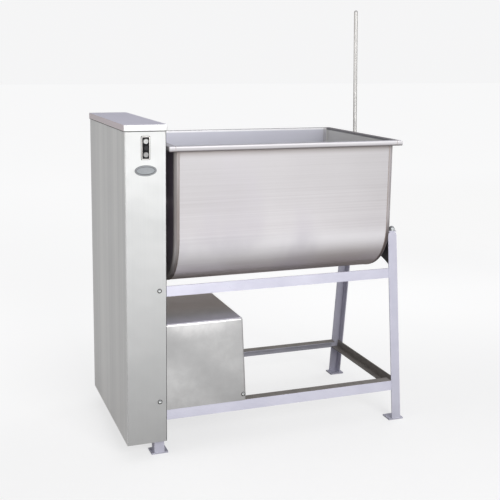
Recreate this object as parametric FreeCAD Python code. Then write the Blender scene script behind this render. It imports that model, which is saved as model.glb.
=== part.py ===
import FreeCAD, Part
import math
import os

os.makedirs("parts", exist_ok=True)
V = FreeCAD.Vector

# X along the mixing shaft, Y from front to back, Z up from the floor.
# The origin lies on the floor under the middle of the machine.

# Drive cabinet at the left end
cabinet_left = -603.5
cabinet_width = 156.0
cabinet_half_depth = 330.0
cabinet_bottom = 60.0
cabinet_top = 1260.0
cap_height = 23.0
cap_overhang = 3.0
sheet = 1.5
lid_sheet = 2.0
cabinet_bend = 4.0
cabinet_return = 18.0
panel_hole_clearance = 8.0

# Trough body and its rim
trough_left = -412.5
trough_right = 507.5
trough_inset = 22.0
trough_half_width = cabinet_half_depth - trough_inset
trough_top = 1200.0
corner_radius = 200.0
corner_centre_z = 848.0
floor_radius = 600.0
head_band = 20.0
head_round = 14.0
head_thickness = 3.0
wrap_thickness = 2.5
rim_width = 25.0
rim_height = 20.0
rim_round = 2.5

# Common axis of the trough pivots and the mixing shaft
axis_z = 935.0
trunnion_radius = 50.0
trunnion_bore = 40.0
trunnion_flange_radius = 80.0
trunnion_flange_thickness = 10.0
running_clearance = 0.05
shaft_radius = 30.0
gland_radius = 62.0
gland_thickness = 9.0
gland_clearance = 0.3
bush_length = 45.0
shaft_chamfer = 2.0

# Angle iron frame, legs leaning towards the middle
angle_size = 40.0
angle_thickness = 4.0
end_angle_size = 35.0
foot_inset = 22.5
foot_half_spread = cabinet_half_depth - foot_inset
lean = 0.1235
leg_top = 800.0
leg_top_round = 14.0
right_leg_outer = 594.5
left_leg_outer = -492.0
bottom_rail_z = 128.5
middle_rail_z = 607.0
plate_thickness = 6.0
foot_length = 67.0
foot_depth = 54.5
foot_overhang = 12.0
anchor_hole_radius = 6.0
anchor_inset_x = 30.0
anchor_inset_y = 31.0
pad_thickness = 3.0
pad_depth = 30.0
nut_radius = 13.0
nut_neck = 6.0
nut_from_edge = 26.0

# Bearing plates welded between the legs
bearing_plate_thickness = 8.0
bearing_plate_low = 625.0
bearing_plate_arch = 685.0
left_plate_low = 600.0
plate_shoulder_z = 745.0
plate_neck_inset = 147.5
plate_neck_half = foot_half_spread - plate_neck_inset
plate_neck_z = 785.0
boss_radius = 100.0
bearing_radius = 78.0
bearing_width = 24.0
bearing_bolt_circle = 66.0
bearing_bolt_count = 4
bearing_flange = 10.0
bearing_step = 24.0
bolt_radius = 5.0
bolt_clearance = 0.2
bolt_head_across = 15.0
bolt_head_height = 6.0
plate_hole_clearance = 4.0

# Tilting lever
lever_radius = 8.0
lever_x = 544.5
lever_low_drop = 225.0
lever_rise = 529.0
lever_rim_y = 101.0
lever_lean = 0.0529
lever_bracket_drops = (182.0, 80.0)
bracket_width = 34.0
bracket_height = 30.0
bracket_outer_x = 555.0
bracket_round = 5.0
collar_radius = 15.0
collar_height = 16.0
fit_gap = 0.1

# Gears, pulleys and belts
gear_module = 6.0
pinion_teeth = 17
gear_teeth = 68
pressure_angle = math.radians(20.0)
backlash = 0.6
gear_left = -596.0
gear_right = -558.0
gear_rim_depth = 24.0
gear_hub_radius = 52.0
gear_web_inset = 12.0
gear_hole_radius = 34.0
gear_hole_count = 6
countershaft_radius = 20.0
countershaft_flange_radius = 64.0
countershaft_spigot_radius = 36.0
countershaft_bolt_circle = 51.0
countershaft_flange = 9.0
countershaft_nose = 20.0
countershaft_overrun = 34.0
pulley_left = -542.0
pulley_right = -500.0
big_pulley_radius = 140.0
small_pulley_radius = 40.0
belt_top_width = 13.0
belt_bottom_width = 8.6
belt_height = 9.0
belt_gap = 0.3
belt_pitch = 19.0
groove_depth = 12.0
pulley_rim_thickness = 12.0
pulley_hub_thickness = 22.0
pulley_recess = 14.0

# Motor on its tray under the trough
motor_shaft_height = 90.0
motor_body_radius = 72.0
motor_fin_height = 9.0
motor_fin_count = 20
motor_fin_thickness = 3.0
motor_bell_radius = 76.0
motor_bell_length = 20.0
motor_tail = 62.0
motor_foot_inner = 40.0
motor_foot_outer = 80.0
motor_foot_thickness = 12.0
motor_foot_inset = 30.0
cowl_radius = 79.0
cowl_sheet = 2.0
cowl_length = 52.0
cowl_slot_count = 12
fan_radius = 68.0
fan_hub_radius = 24.0
fan_width = 20.0
fan_inset = 38.0
fan_blade_count = 7
terminal_inset = 70.0
terminal_box_length = 85.0
terminal_seat_length = 75.0
terminal_seat_half_width = 28.0
terminal_seat_height = 16.0
terminal_box_half_width = 38.0
terminal_box_height = 34.0
terminal_lid_height = 8.0
cross_bar_half_width = 25.0
cross_bar_inset = 32.0
tray_overhang = 13.0
cross_bar_thickness = 8.0
motor_left = -434.0
motor_right = -160.0
motor_shaft_radius = 14.0
cover_top = 513.0
cover_inset = 40.0
cover_front = cover_inset - cabinet_half_depth
cover_back = 98.0
cover_right_top = -125.5
cover_right_bottom = -106.5
cover_round = 10.0

# Mixing arms and blades
arm_count = 5
arm_pitch = 160.0
arm_angles = (-30.0, -15.0, 0.0, 15.0, 30.0)
arm_root_radius = 17.0
arm_tip_radius = 12.0
blade_clearance = 20.0
blade_reach = trough_half_width - blade_clearance
blade_height = 62.0
blade_length = 128.0
blade_thickness = 10.0
blade_pitch_angle = 28.0
blade_corner = 18.0

# Push-button station and name plate
switch_x = -525.5
switch_drop = 62.0
switch_z = cabinet_top - switch_drop
switch_width = 31.0
switch_height = 84.0
switch_thickness = 3.0
switch_black_width = 23.0
switch_black_height = 76.0
switch_box_depth = 52.0
button_radius = 9.0
button_stand = 6.0
button_gap = 0.4
button_step = 24.0
button_bore_depth = 24.0
button_stem = 12.0
badge_drop = 145.0
badge_z = cabinet_top - badge_drop
badge_half_width = 40.0
badge_half_height = 19.0
badge_thickness = 2.5
badge_ring = 4.0
badge_recess = 1.7
front_screw_x = -475.5
front_screw_heights = (222.0, 660.0)
screw_head_radius = 7.0
screw_shank_radius = 3.0
screw_head_height = 3.8
screw_slot = 1.6
screw_length = 15.0
spacer_half_height = 12.0
spacer_half_width = 13.0
spacer_hole_depth = 16.0
cover_screw_length = 6.0
cover_screw_inset = 14.0
cover_screw_height = 26.0

frame_rail_top = bottom_rail_z + angle_size
cabinet_right = cabinet_left + cabinet_width
motor_y = (cover_front + cover_back) / 2.0
motor_z = frame_rail_top + motor_shaft_height
terminal_left = motor_left + terminal_inset
gear_radius = gear_module * gear_teeth / 2.0
gear_hole_circle = (gear_radius - gear_rim_depth + gear_hub_radius) / 2.0
pinion_radius = gear_module * pinion_teeth / 2.0
countershaft_z = axis_z - gear_radius - pinion_radius
left_leg_inner = left_leg_outer + angle_size
right_leg_inner = right_leg_outer - angle_size
left_plate_x = left_leg_outer + angle_thickness
right_plate_x = right_leg_outer - angle_thickness - bearing_plate_thickness
right_trunnion_end = right_plate_x + bearing_plate_thickness + 3.0
left_trunnion_end = left_plate_x - 6.0
lever_low_z = trough_top - lever_low_drop
lever_top_z = trough_top + lever_rise
lever_low_bracket_z = trough_top - max(lever_bracket_drops)
rim_left = trough_left - rim_width
rim_right = trough_right + rim_width
rim_half = trough_half_width + rim_width


def save(shape, name):
    shape.exportStep("parts/" + name + ".step")


def box(x0, x1, y0, y1, z0, z1):
    return Part.makeBox(x1 - x0, y1 - y0, z1 - z0, V(x0, y0, z0))


def disc(radius, x0, x1, y, z):
    return Part.makeCylinder(radius, x1 - x0, V(x0, y, z), V(1, 0, 0))


def ring(outer, inner, x0, x1, y, z):
    return disc(outer, x0, x1, y, z).cut(disc(inner, x0 - 1, x1 + 1, y, z))


def group(shapes):
    return Part.makeCompound(shapes)


def prism_x(points, x0, x1):
    corners = [V(x0, y, z) for y, z in points]
    face = Part.Face(Part.makePolygon(corners + [corners[0]]))
    return face.extrude(V(x1 - x0, 0, 0))


def turned(profile, y, z):
    corners = [V(x, 0, r) for x, r in profile]
    face = Part.Face(Part.makePolygon(corners + [corners[0]]))
    solid = face.revolve(V(0, 0, 0), V(1, 0, 0), 360)
    solid.translate(V(0, y, z))
    return solid


def hexagon(across, x0, x1, y, z):
    reach = across / math.sqrt(3.0)
    points = []
    for k in range(6):
        turn = math.radians(60.0 * k)
        points.append((y + reach * math.cos(turn), z + reach * math.sin(turn)))
    return prism_x(points, x0, x1)


def spread(z):
    return foot_half_spread - lean * z


# Angle iron legs and rails
def leg(outer_x, side_x, side_y):
    sections = []
    for z in (plate_thickness, leg_top):
        y = side_y * spread(z)
        outline = [
            (outer_x - side_x * angle_size, y),
            (outer_x, y),
            (outer_x, y - side_y * angle_size),
            (outer_x - side_x * angle_thickness, y - side_y * angle_size),
            (outer_x - side_x * angle_thickness, y - side_y * angle_thickness),
            (outer_x - side_x * angle_size, y - side_y * angle_thickness),
        ]
        corners = [V(px, py, z) for px, py in outline]
        sections.append(Part.makePolygon(corners + [corners[0]]))
    solid = Part.makeLoft(sections, True, True)
    low_x = min(outer_x, outer_x - side_x * angle_size)
    reach = cabinet_half_depth
    window = box(low_x, low_x + angle_size, -reach, reach, 0, leg_top)
    edges = []
    for edge in window.Edges:
        middle = edge.CenterOfMass
        if abs(middle.z - leg_top) < 0.01 and abs(middle.y) < 1.0:
            edges.append(edge)
    return solid.common(window.makeFillet(leg_top_round, edges))


def long_rail(z0, side_y, flange_on_top):
    z1 = z0 + angle_size
    low = spread(z0)
    high = spread(z1)
    if flange_on_top:
        z_in = z1 - angle_thickness
        outline = [(low, z0), (high, z1), (high - angle_size, z1)]
        outline += [(high - angle_size, z_in), (spread(z_in) - angle_thickness, z_in)]
        outline += [(low - angle_thickness, z0)]
    else:
        z_in = z0 + angle_thickness
        outline = [(low, z0), (high, z1), (high - angle_thickness, z1)]
        outline += [(spread(z_in) - angle_thickness, z_in), (low - angle_size, z_in)]
        outline += [(low - angle_size, z0)]
    points = [(side_y * y, z) for y, z in outline]
    return prism_x(points, left_leg_inner, right_leg_inner)


def leg_inside(z):
    return spread(z) - angle_thickness


# An end rail lies inside the legs, under the long rails' flanges, with its own flange at the bottom
def end_rail(outer_x, side_x):
    z1 = frame_rail_top - angle_thickness
    z0 = z1 - end_angle_size
    face = outer_x - side_x * angle_thickness
    walls = []
    for top, width in ((z1, angle_thickness), (z0 + angle_thickness, end_angle_size)):
        xs = sorted((face, face - side_x * width))
        low = leg_inside(z0)
        high = leg_inside(top)
        walls.append(prism_x([(-low, z0), (low, z0), (high, top), (-high, top)], xs[0], xs[1]))
    return walls[0].fuse(walls[1]).removeSplitter()


def anchor_points():
    points = []
    for outer_x, side_x in ((right_leg_outer, 1), (left_leg_outer, -1)):
        for side_y in (-1, 1):
            x = outer_x + side_x * (foot_overhang - anchor_inset_x)
            y = side_y * (foot_half_spread + 1.0 - anchor_inset_y)
            points.append((x, y))
    return points


def foot_plates():
    plates = []
    for outer_x, side_x in ((right_leg_outer, 1), (left_leg_outer, -1)):
        for side_y in (-1, 1):
            far_x = outer_x + side_x * foot_overhang
            xs = sorted((far_x, far_x - side_x * foot_length))
            far_y = side_y * (foot_half_spread + 1.0)
            ys = sorted((far_y, far_y - side_y * foot_depth))
            plates.append(box(xs[0], xs[1], ys[0], ys[1], 0, plate_thickness))
    drilled = []
    for plate, (x, y) in zip(plates, anchor_points()):
        hole = Part.makeCylinder(anchor_hole_radius, plate_thickness + 2, V(x, y, -1))
        drilled.append(plate.cut(hole))
    return group(drilled)


def leg_caps():
    pads = []
    nuts = []
    outer = spread(leg_top) - 1.0
    middle = outer - pad_depth / 2.0
    for side_y in (-1, 1):
        ys = sorted((side_y * outer, side_y * (outer - pad_depth)))
        x0 = right_leg_inner + angle_thickness
        pads.append(box(x0, right_leg_outer, ys[0], ys[1], leg_top, leg_top + pad_thickness))
        centre = V(right_leg_inner + nut_from_edge, side_y * middle, leg_top + pad_thickness)
        neck = Part.makeCylinder(nut_radius, nut_neck, centre)
        dome = Part.makeSphere(nut_radius, centre + V(0, 0, nut_neck), V(0, 0, 1), 0, 90, 360)
        nuts.append(neck.fuse(dome))
    return group(pads), group(nuts)


# Bearing plate: wide between the legs, then a neck that runs tangent into the boss round the pivot
def boss_tangent(y, z):
    distance = math.hypot(y, z - axis_z)
    turn = math.atan2(z - axis_z, y) + math.acos(boss_radius / distance)
    return boss_radius * math.cos(turn), axis_z + boss_radius * math.sin(turn)


def bearing_plate(x0, low_z, arched, holes):
    tangent_y, tangent_z = boss_tangent(plate_neck_half, plate_neck_z)
    side = [(spread(low_z) - angle_thickness, low_z)]
    side.append((spread(plate_shoulder_z) - angle_thickness, plate_shoulder_z))
    side.append((plate_neck_half, plate_neck_z))
    side.append((tangent_y, tangent_z))
    right = [V(x0, y, z) for y, z in side]
    left = [V(x0, -y, z) for y, z in side]
    edges = []
    for k in range(len(side) - 1):
        edges.append(Part.makeLine(right[k], right[k + 1]))
    edges.append(Part.Arc(right[-1], V(x0, 0, axis_z + boss_radius), left[-1]).toShape())
    for k in reversed(range(len(side) - 1)):
        edges.append(Part.makeLine(left[k + 1], left[k]))
    if arched:
        edges.append(Part.Arc(left[0], V(x0, 0, bearing_plate_arch), right[0]).toShape())
    else:
        edges.append(Part.makeLine(left[0], right[0]))
    solid = Part.Face(Part.Wire(edges)).extrude(V(bearing_plate_thickness, 0, 0))
    for radius, z in holes:
        solid = solid.cut(disc(radius, x0 - 1, x0 + bearing_plate_thickness + 1, 0, z))
    return solid


def bolt_spots(circle, count, z):
    spots = []
    for k in range(count):
        turn = math.radians(45.0 + 360.0 * k / count)
        spots.append((circle * math.cos(turn), z + circle * math.sin(turn)))
    return spots


def flange_bearing(face_x, direction):
    bore = trunnion_radius + running_clearance
    flange_x = face_x + direction * bearing_flange
    end_x = face_x + direction * bearing_width
    nose = bearing_radius - bearing_step
    profile = [(face_x, bore), (face_x, bearing_radius), (flange_x, bearing_radius), (flange_x, nose)]
    profile += [(end_x - direction * 2.0, nose - 2.0), (end_x, nose - 4.0), (end_x, bore)]
    solid = turned(profile, 0, axis_z)
    xs = sorted((face_x, end_x))
    for y, bolt_z in bolt_spots(bearing_bolt_circle, bearing_bolt_count, axis_z):
        solid = solid.cut(disc(bolt_radius + bolt_clearance, xs[0] - 1, xs[1] + 1, y, bolt_z))
    return solid


def bearing_bolts(head_x, direction, grip, circle, z):
    bolts = []
    for y, bolt_z in bolt_spots(circle, bearing_bolt_count, z):
        xs = sorted((head_x, head_x + direction * bolt_head_height))
        head = hexagon(bolt_head_across, xs[0], xs[1], y, bolt_z)
        xs = sorted((head_x, head_x - direction * grip))
        shank = disc(bolt_radius, xs[0], xs[1], y, bolt_z)
        bolts.append(head.fuse(shank))
    return bolts


# Trough section: straight walls, round corners and a gently curved floor
def section_face(x, inset, top):
    half = trough_half_width - inset
    corner = corner_radius - inset
    side = trough_half_width - corner_radius
    reach = floor_radius - corner_radius
    floor_centre = corner_centre_z + math.sqrt(reach ** 2 - side ** 2)
    turn = math.asin(side / reach)
    big = floor_radius - inset
    meet_y = big * math.sin(turn)
    meet_z = floor_centre - big * math.cos(turn)
    middle = (math.pi / 2.0 - turn) / 2.0
    mid_y = side + corner * math.cos(middle)
    mid_z = corner_centre_z - corner * math.sin(middle)
    p1 = V(x, -half, top)
    p2 = V(x, -half, corner_centre_z)
    p3 = V(x, -meet_y, meet_z)
    p4 = V(x, meet_y, meet_z)
    p5 = V(x, half, corner_centre_z)
    p6 = V(x, half, top)
    edges = [Part.makeLine(p1, p2)]
    edges.append(Part.Arc(p2, V(x, -mid_y, mid_z), p3).toShape())
    edges.append(Part.Arc(p3, V(x, 0, floor_centre - big), p4).toShape())
    edges.append(Part.Arc(p4, V(x, mid_y, mid_z), p5).toShape())
    edges += [Part.makeLine(p5, p6), Part.makeLine(p6, p1)]
    return Part.Face(Part.Wire(edges))


def rounded_block(x0, x1, inset, top, radius):
    solid = section_face(x0, inset, top).extrude(V(x1 - x0, 0, 0))
    edges = []
    for edge in solid.Edges:
        xs = [vertex.Point.x for vertex in edge.Vertexes]
        zs = [vertex.Point.z for vertex in edge.Vertexes]
        across = max(xs) - min(xs) > 0.01
        if not across and min(zs) < top - 0.01:
            edges.append(edge)
    return solid.makeFillet(radius, edges)


def trough_block():
    return rounded_block(trough_left, trough_right, 0.0, trough_top, head_round)


def trough_shell():
    inner_round = head_round - head_thickness
    hollow_left = trough_left + head_thickness
    hollow_right = trough_right - head_thickness
    inner = rounded_block(hollow_left, hollow_right, head_thickness, trough_top + 20, inner_round)
    return trough_block().cut(inner)


def head(shell, x0, x1):
    half = trough_half_width + 1.0
    piece = shell.common(box(x0, x1, -half, half, 0, trough_top))
    return piece.cut(disc(trunnion_bore + 1.0, x0 - 1, x1 + 1, 0, axis_z))


def trough_wrap():
    x0 = trough_left + head_band
    x1 = trough_right - head_band
    outer = section_face(x0, 0.0, trough_top).extrude(V(x1 - x0, 0, 0))
    inner = section_face(x0, wrap_thickness, trough_top + 20).extrude(V(x1 - x0, 0, 0))
    return outer.cut(inner)


def rim():
    low = trough_top - rim_height
    frame = box(rim_left, rim_right, -rim_half, rim_half, low, trough_top)
    frame = frame.makeFillet(rim_round, frame.Edges)
    return frame.cut(trough_block())


def trunnion(side):
    face = trough_right if side > 0 else trough_left
    end = right_trunnion_end if side > 0 else left_trunnion_end
    step = face + side * trunnion_flange_thickness
    profile = [(face, trunnion_bore), (face, trunnion_flange_radius)]
    profile += [(step, trunnion_flange_radius), (step, trunnion_radius)]
    profile += [(end, trunnion_radius), (end, trunnion_bore)]
    return turned(profile, 0, axis_z)


def trunnion_bushes():
    inner = shaft_radius + running_clearance
    right = ring(trunnion_bore, inner, right_trunnion_end - bush_length, right_trunnion_end, 0, axis_z)
    left = ring(trunnion_bore, inner, left_trunnion_end, left_trunnion_end + bush_length, 0, axis_z)
    return group([left, right])


def shaft_glands():
    inner = shaft_radius + gland_clearance
    x_right = trough_right - head_thickness
    x_left = trough_left + head_thickness
    right = ring(gland_radius, inner, x_right - gland_thickness, x_right, 0, axis_z)
    left = ring(gland_radius, inner, x_left, x_left + gland_thickness, 0, axis_z)
    return group([left, right])


# Tilting lever beside the right-hand head
def lever_y(z):
    return lever_rim_y + lever_lean * (z - trough_top)


def lever_line(radius, z0, z1):
    start = V(lever_x, lever_y(z0), z0)
    end = V(lever_x, lever_y(z1), z1)
    direction = end - start
    return Part.makeCylinder(radius, direction.Length, start, direction)


def lever_rod():
    rod = lever_line(lever_radius, lever_low_z, lever_top_z - lever_radius)
    tip = V(lever_x, lever_y(lever_top_z - lever_radius), lever_top_z - lever_radius)
    return rod.fuse(Part.makeSphere(lever_radius, tip))


def lever_brackets():
    blocks = []
    for drop in lever_bracket_drops:
        z = trough_top - drop
        y = lever_y(z)
        low = z - bracket_height / 2.0
        high = z + bracket_height / 2.0
        half = bracket_width / 2.0
        block = box(trough_right, bracket_outer_x, y - half, y + half, low, high)
        rounded = [e for e in block.Edges if e.CenterOfMass.x > bracket_outer_x - 0.1]
        block = block.makeFillet(bracket_round, rounded)
        blocks.append(block.cut(lever_line(lever_radius + fit_gap, low - 20, high + 20)))
    return group(blocks)


def lever_collar():
    z1 = lever_low_bracket_z - bracket_height / 2.0 - 1.0
    z0 = z1 - collar_height
    solid = lever_line(collar_radius, z0, z1)
    return solid.cut(lever_line(lever_radius + fit_gap, z0 - collar_height, z1 + collar_height))


# Mixing shaft with arms and blades
def mixing_shaft():
    left_end = gear_left - 2.0
    right_end = right_trunnion_end + 3.0
    slim = shaft_radius - shaft_chamfer
    profile = [(left_end, 0), (left_end, slim), (left_end + shaft_chamfer, shaft_radius)]
    profile += [(right_end - shaft_chamfer, shaft_radius), (right_end, slim), (right_end, 0)]
    return turned(profile, 0, axis_z)


def arm_positions():
    middle = (trough_left + trough_right) / 2.0
    positions = []
    for k in range(arm_count):
        x = middle + (k - (arm_count - 1) / 2.0) * arm_pitch
        for half_turn in (0.0, 180.0):
            positions.append((x, arm_angles[k] + half_turn, 1 if half_turn else -1))
    return positions


def mixing_arms():
    arms = []
    reach = blade_reach - blade_height * 0.55
    for x, angle, side in arm_positions():
        direction = V(0, math.cos(math.radians(angle)), math.sin(math.radians(angle)))
        foot = V(x, 0, axis_z) + direction * (shaft_radius - 4.0)
        length = reach - shaft_radius + 4.0
        arm = Part.makeCone(arm_root_radius, arm_tip_radius, length, foot, direction)
        arms.append(arm.cut(disc(shaft_radius, x - 40, x + 40, 0, axis_z)))
    return group(arms)


def blade():
    outer = blade_reach
    inner = blade_reach - blade_height
    middle = (inner + outer) / 2.0
    half = blade_length / 2.0
    thick = blade_thickness
    front = Part.Arc(V(-half, 0, inner), V(-half, thick, middle), V(-half, 0, outer)).toShape()
    tip = Part.makeLine(V(-half, 0, outer), V(-half, -thick, outer - 2.0))
    back = Part.Arc(V(-half, -thick, outer - 2.0), V(-half, 0, middle), V(-half, -thick, inner)).toShape()
    root = Part.makeLine(V(-half, -thick, inner), V(-half, 0, inner))
    solid = Part.Face(Part.Wire([front, tip, back, root])).extrude(V(blade_length, 0, 0))
    corners = []
    for edge in solid.Edges:
        points = [vertex.Point for vertex in edge.Vertexes]
        short = edge.Length < thick + 3.0
        if short and abs(points[0].x) > half - 1 and points[0].z > outer - 5:
            corners.append(edge)
    return solid.makeFillet(blade_corner, corners)


def mixing_blades(arms):
    blades = []
    for x, angle, side in arm_positions():
        piece = blade()
        piece.rotate(V(0, 0, 0), V(0, 0, 1), side * blade_pitch_angle)
        piece.rotate(V(0, 0, 0), V(1, 0, 0), angle - 90.0)
        piece.translate(V(x, 0, axis_z))
        blades.append(piece.cut(arms))
    return group(blades)


# Involute gears
def involute_angle(radius, base):
    if radius <= base:
        return 0.0
    roll = math.sqrt((radius / base) ** 2 - 1.0)
    return roll - math.atan(roll)


def gear_outline(teeth, y, z, turn):
    pitch_radius = gear_module * teeth / 2.0
    base = pitch_radius * math.cos(pressure_angle)
    root = pitch_radius - 1.25 * gear_module
    tip = pitch_radius + 0.95 * gear_module
    half_tooth = (math.pi * gear_module / 2.0 - backlash) / 2.0 / pitch_radius
    at_pitch = involute_angle(pitch_radius, base)
    radii = [root, max(base, root + 0.2), pitch_radius, tip]
    points = []
    for k in range(teeth):
        centre = turn + 2.0 * math.pi * k / teeth
        for r in radii:
            a = centre - half_tooth - at_pitch + involute_angle(r, base)
            points.append((y + r * math.cos(a), z + r * math.sin(a)))
        for r in reversed(radii):
            a = centre + half_tooth + at_pitch - involute_angle(r, base)
            points.append((y + r * math.cos(a), z + r * math.sin(a)))
    return points


def main_gear():
    outline = gear_outline(gear_teeth, 0.0, axis_z, -math.pi / 2.0)
    solid = prism_x(outline, gear_left + 2.0, gear_right - 2.0)
    web_radius = gear_radius - gear_rim_depth
    web_left = ring(web_radius, gear_hub_radius, gear_left, gear_left + gear_web_inset, 0, axis_z)
    web_right = ring(web_radius, gear_hub_radius, gear_right - gear_web_inset, gear_right, 0, axis_z)
    solid = solid.cut(web_left).cut(web_right)
    for k in range(gear_hole_count):
        turn = 2.0 * math.pi * k / gear_hole_count
        hole_y = gear_hole_circle * math.cos(turn)
        hole_z = axis_z + gear_hole_circle * math.sin(turn)
        solid = solid.cut(disc(gear_hole_radius, gear_left - 1, gear_right + 1, hole_y, hole_z))
    hub = disc(gear_hub_radius, gear_left, gear_right, 0, axis_z)
    return solid.fuse(hub).cut(disc(shaft_radius, gear_left - 1, gear_right + 1, 0, axis_z))


def pinion():
    turn = math.pi / 2.0 + math.pi / pinion_teeth
    outline = gear_outline(pinion_teeth, 0.0, countershaft_z, turn)
    solid = prism_x(outline, gear_left + 2.0, gear_right - 2.0)
    return solid.cut(disc(countershaft_radius, gear_left, gear_right, 0, countershaft_z))


def countershaft():
    left_end = gear_left - 1.0
    right_end = left_plate_x + countershaft_overrun
    return disc(countershaft_radius, left_end, right_end, 0, countershaft_z)


def countershaft_bearing():
    x0 = left_plate_x - 4.0
    x1 = left_plate_x + bearing_plate_thickness
    face = x1 + countershaft_flange
    end = x1 + countershaft_nose
    bore = countershaft_radius + running_clearance
    outer = countershaft_flange_radius
    spigot = countershaft_spigot_radius
    profile = [(x0, bore), (x0, spigot), (x1, spigot), (x1, outer), (face, outer)]
    profile += [(face, spigot + 4.0), (end, spigot + 2.0), (end, bore)]
    solid = turned(profile, 0, countershaft_z)
    for y, z in bolt_spots(countershaft_bolt_circle, bearing_bolt_count, countershaft_z):
        solid = solid.cut(disc(bolt_radius + bolt_clearance, x0 - 1, end + 1, y, z))
    return solid


def belt_centres():
    middle = (pulley_left + pulley_right) / 2.0
    return (middle - belt_pitch / 2.0, middle + belt_pitch / 2.0)


def pulley(radius, bore, y, z):
    top_half = belt_top_width / 2.0 + 0.7
    low_half = belt_bottom_width / 2.0 + 0.5
    profile = [(pulley_left, bore), (pulley_left, radius)]
    for x in belt_centres():
        profile += [(x - top_half, radius), (x - low_half, radius - groove_depth)]
        profile += [(x + low_half, radius - groove_depth), (x + top_half, radius)]
    profile += [(pulley_right, radius), (pulley_right, bore)]
    return turned(profile, y, z)


def big_pulley():
    solid = pulley(big_pulley_radius, countershaft_radius, 0, countershaft_z)
    rim_inner = big_pulley_radius - groove_depth - pulley_rim_thickness
    hub = countershaft_radius + pulley_hub_thickness
    recesses = [(pulley_left - 1, pulley_left + pulley_recess)]
    recesses.append((pulley_right - pulley_recess, pulley_right + 1))
    for x0, x1 in recesses:
        solid = solid.cut(ring(rim_inner, hub, x0, x1, 0, countershaft_z))
    return solid


def v_belts():
    dy = motor_y
    dz = motor_z - countershaft_z
    distance = math.hypot(dy, dz)
    inner = groove_depth - belt_gap
    r1 = big_pulley_radius - inner
    r2 = small_pulley_radius - inner
    wrap = math.acos((r1 - r2) / distance)
    towards = math.atan2(dz, dy)
    belts = []
    for x in belt_centres():
        spots = []
        for radius, cy, cz in ((r1, 0.0, countershaft_z), (r2, motor_y, motor_z)):
            for sign in (1, -1):
                a = towards + sign * wrap
                spots.append(V(x, cy + radius * math.cos(a), cz + radius * math.sin(a)))
        far_big = V(x, -r1 * math.cos(towards), countershaft_z - r1 * math.sin(towards))
        far_small = V(x, motor_y + r2 * math.cos(towards), motor_z + r2 * math.sin(towards))
        edges = [Part.makeLine(spots[0], spots[2])]
        edges.append(Part.Arc(spots[2], far_small, spots[3]).toShape())
        edges.append(Part.makeLine(spots[3], spots[1]))
        edges.append(Part.Arc(spots[1], far_big, spots[0]).toShape())
        path = Part.Wire(edges)
        out = V(0, math.cos(towards + wrap), math.sin(towards + wrap))
        low = belt_bottom_width / 2.0
        high = belt_top_width / 2.0
        lift = out * belt_height
        corners = [spots[0] + V(-low, 0, 0), spots[0] + V(low, 0, 0)]
        corners += [spots[0] + V(high, 0, 0) + lift, spots[0] + V(-high, 0, 0) + lift]
        section = Part.makePolygon(corners + [corners[0]])
        belts.append(path.makePipeShell([section], True, False))
    return group(belts)


# Motor
def motor_body():
    x0 = motor_left + motor_bell_length
    x1 = motor_right - motor_tail
    solid = disc(motor_body_radius, x0, x1, motor_y, motor_z)
    fin_low = motor_body_radius - 3.0
    fin_high = motor_body_radius + motor_fin_height
    half_fin = motor_fin_thickness / 2.0
    for k in range(motor_fin_count):
        turn = 360.0 * (k + 0.5) / motor_fin_count
        if 240.0 < turn < 300.0 or 70.0 < turn < 110.0:
            continue
        fin = box(x0 + 4.0, x1 - 4.0, fin_low, fin_high, -half_fin, half_fin)
        fin.rotate(V(0, 0, 0), V(1, 0, 0), turn)
        fin.translate(V(0, motor_y, motor_z))
        solid = solid.fuse(fin)
    foot_top = frame_rail_top + motor_foot_thickness
    for side in (-1, 1):
        near = motor_y + side * motor_foot_inner
        ys = sorted((near, motor_y + side * motor_foot_outer))
        inset = motor_foot_inset
        foot = box(x0 + inset, x1 - inset, ys[0], ys[1], frame_rail_top, foot_top)
        ys = sorted((near, near + side * motor_foot_thickness))
        inset = motor_foot_inset + 10.0
        web = box(x0 + inset, x1 - inset, ys[0], ys[1], foot_top, motor_z - motor_foot_inner)
        solid = solid.fuse(foot).fuse(web)
    seat_top = motor_z + motor_body_radius + 6.0
    seat_low = seat_top - terminal_seat_height
    seat_x0 = terminal_left + 5.0
    seat_x1 = seat_x0 + terminal_seat_length
    half = terminal_seat_half_width
    seat = box(seat_x0, seat_x1, motor_y - half, motor_y + half, seat_low, seat_top)
    bore = disc(motor_shaft_radius + 3.0, motor_left, motor_right, motor_y, motor_z)
    return solid.fuse(seat).removeSplitter().cut(bore)


def motor_end_bells():
    bore = motor_shaft_radius + running_clearance
    x0 = motor_left
    x1 = motor_left + motor_bell_length
    big = motor_bell_radius
    front = [(x0, bore), (x0, big - 36.0), (x0 + 8.0, big - 16.0), (x0 + 12.0, big)]
    front += [(x1, big), (x1, bore)]
    x = motor_right - motor_tail
    back = [(x, bore), (x, big), (x + 8.0, big), (x + 10.0, big - 26.0)]
    back += [(x + 16.0, big - 42.0), (x + 16.0, bore)]
    return group([turned(front, motor_y, motor_z), turned(back, motor_y, motor_z)])


def motor_fan_cowl():
    x0 = motor_right - cowl_length
    x1 = motor_right
    outer = cowl_radius
    inner = cowl_radius - cowl_sheet
    profile = [(x0, inner), (x0, outer), (x1 - 8.0, outer), (x1, outer - 8.0), (x1, 8.0)]
    profile += [(x1 - cowl_sheet, 8.0), (x1 - cowl_sheet, outer - 9.0), (x1 - 9.0, inner)]
    solid = turned(profile, motor_y, motor_z)
    for k in range(cowl_slot_count):
        slot = box(x1 - 2.0 * cowl_sheet, x1 + 2.0, fan_hub_radius + 2.0, fan_radius - 6.0, -4.0, 4.0)
        slot.rotate(V(0, 0, 0), V(1, 0, 0), 360.0 * k / cowl_slot_count)
        slot.translate(V(0, motor_y, motor_z))
        solid = solid.cut(slot)
    skirt = ring(inner, motor_bell_radius, x0 - 2.0, x0 + 6.0, motor_y, motor_z)
    return solid.fuse(skirt)


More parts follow.
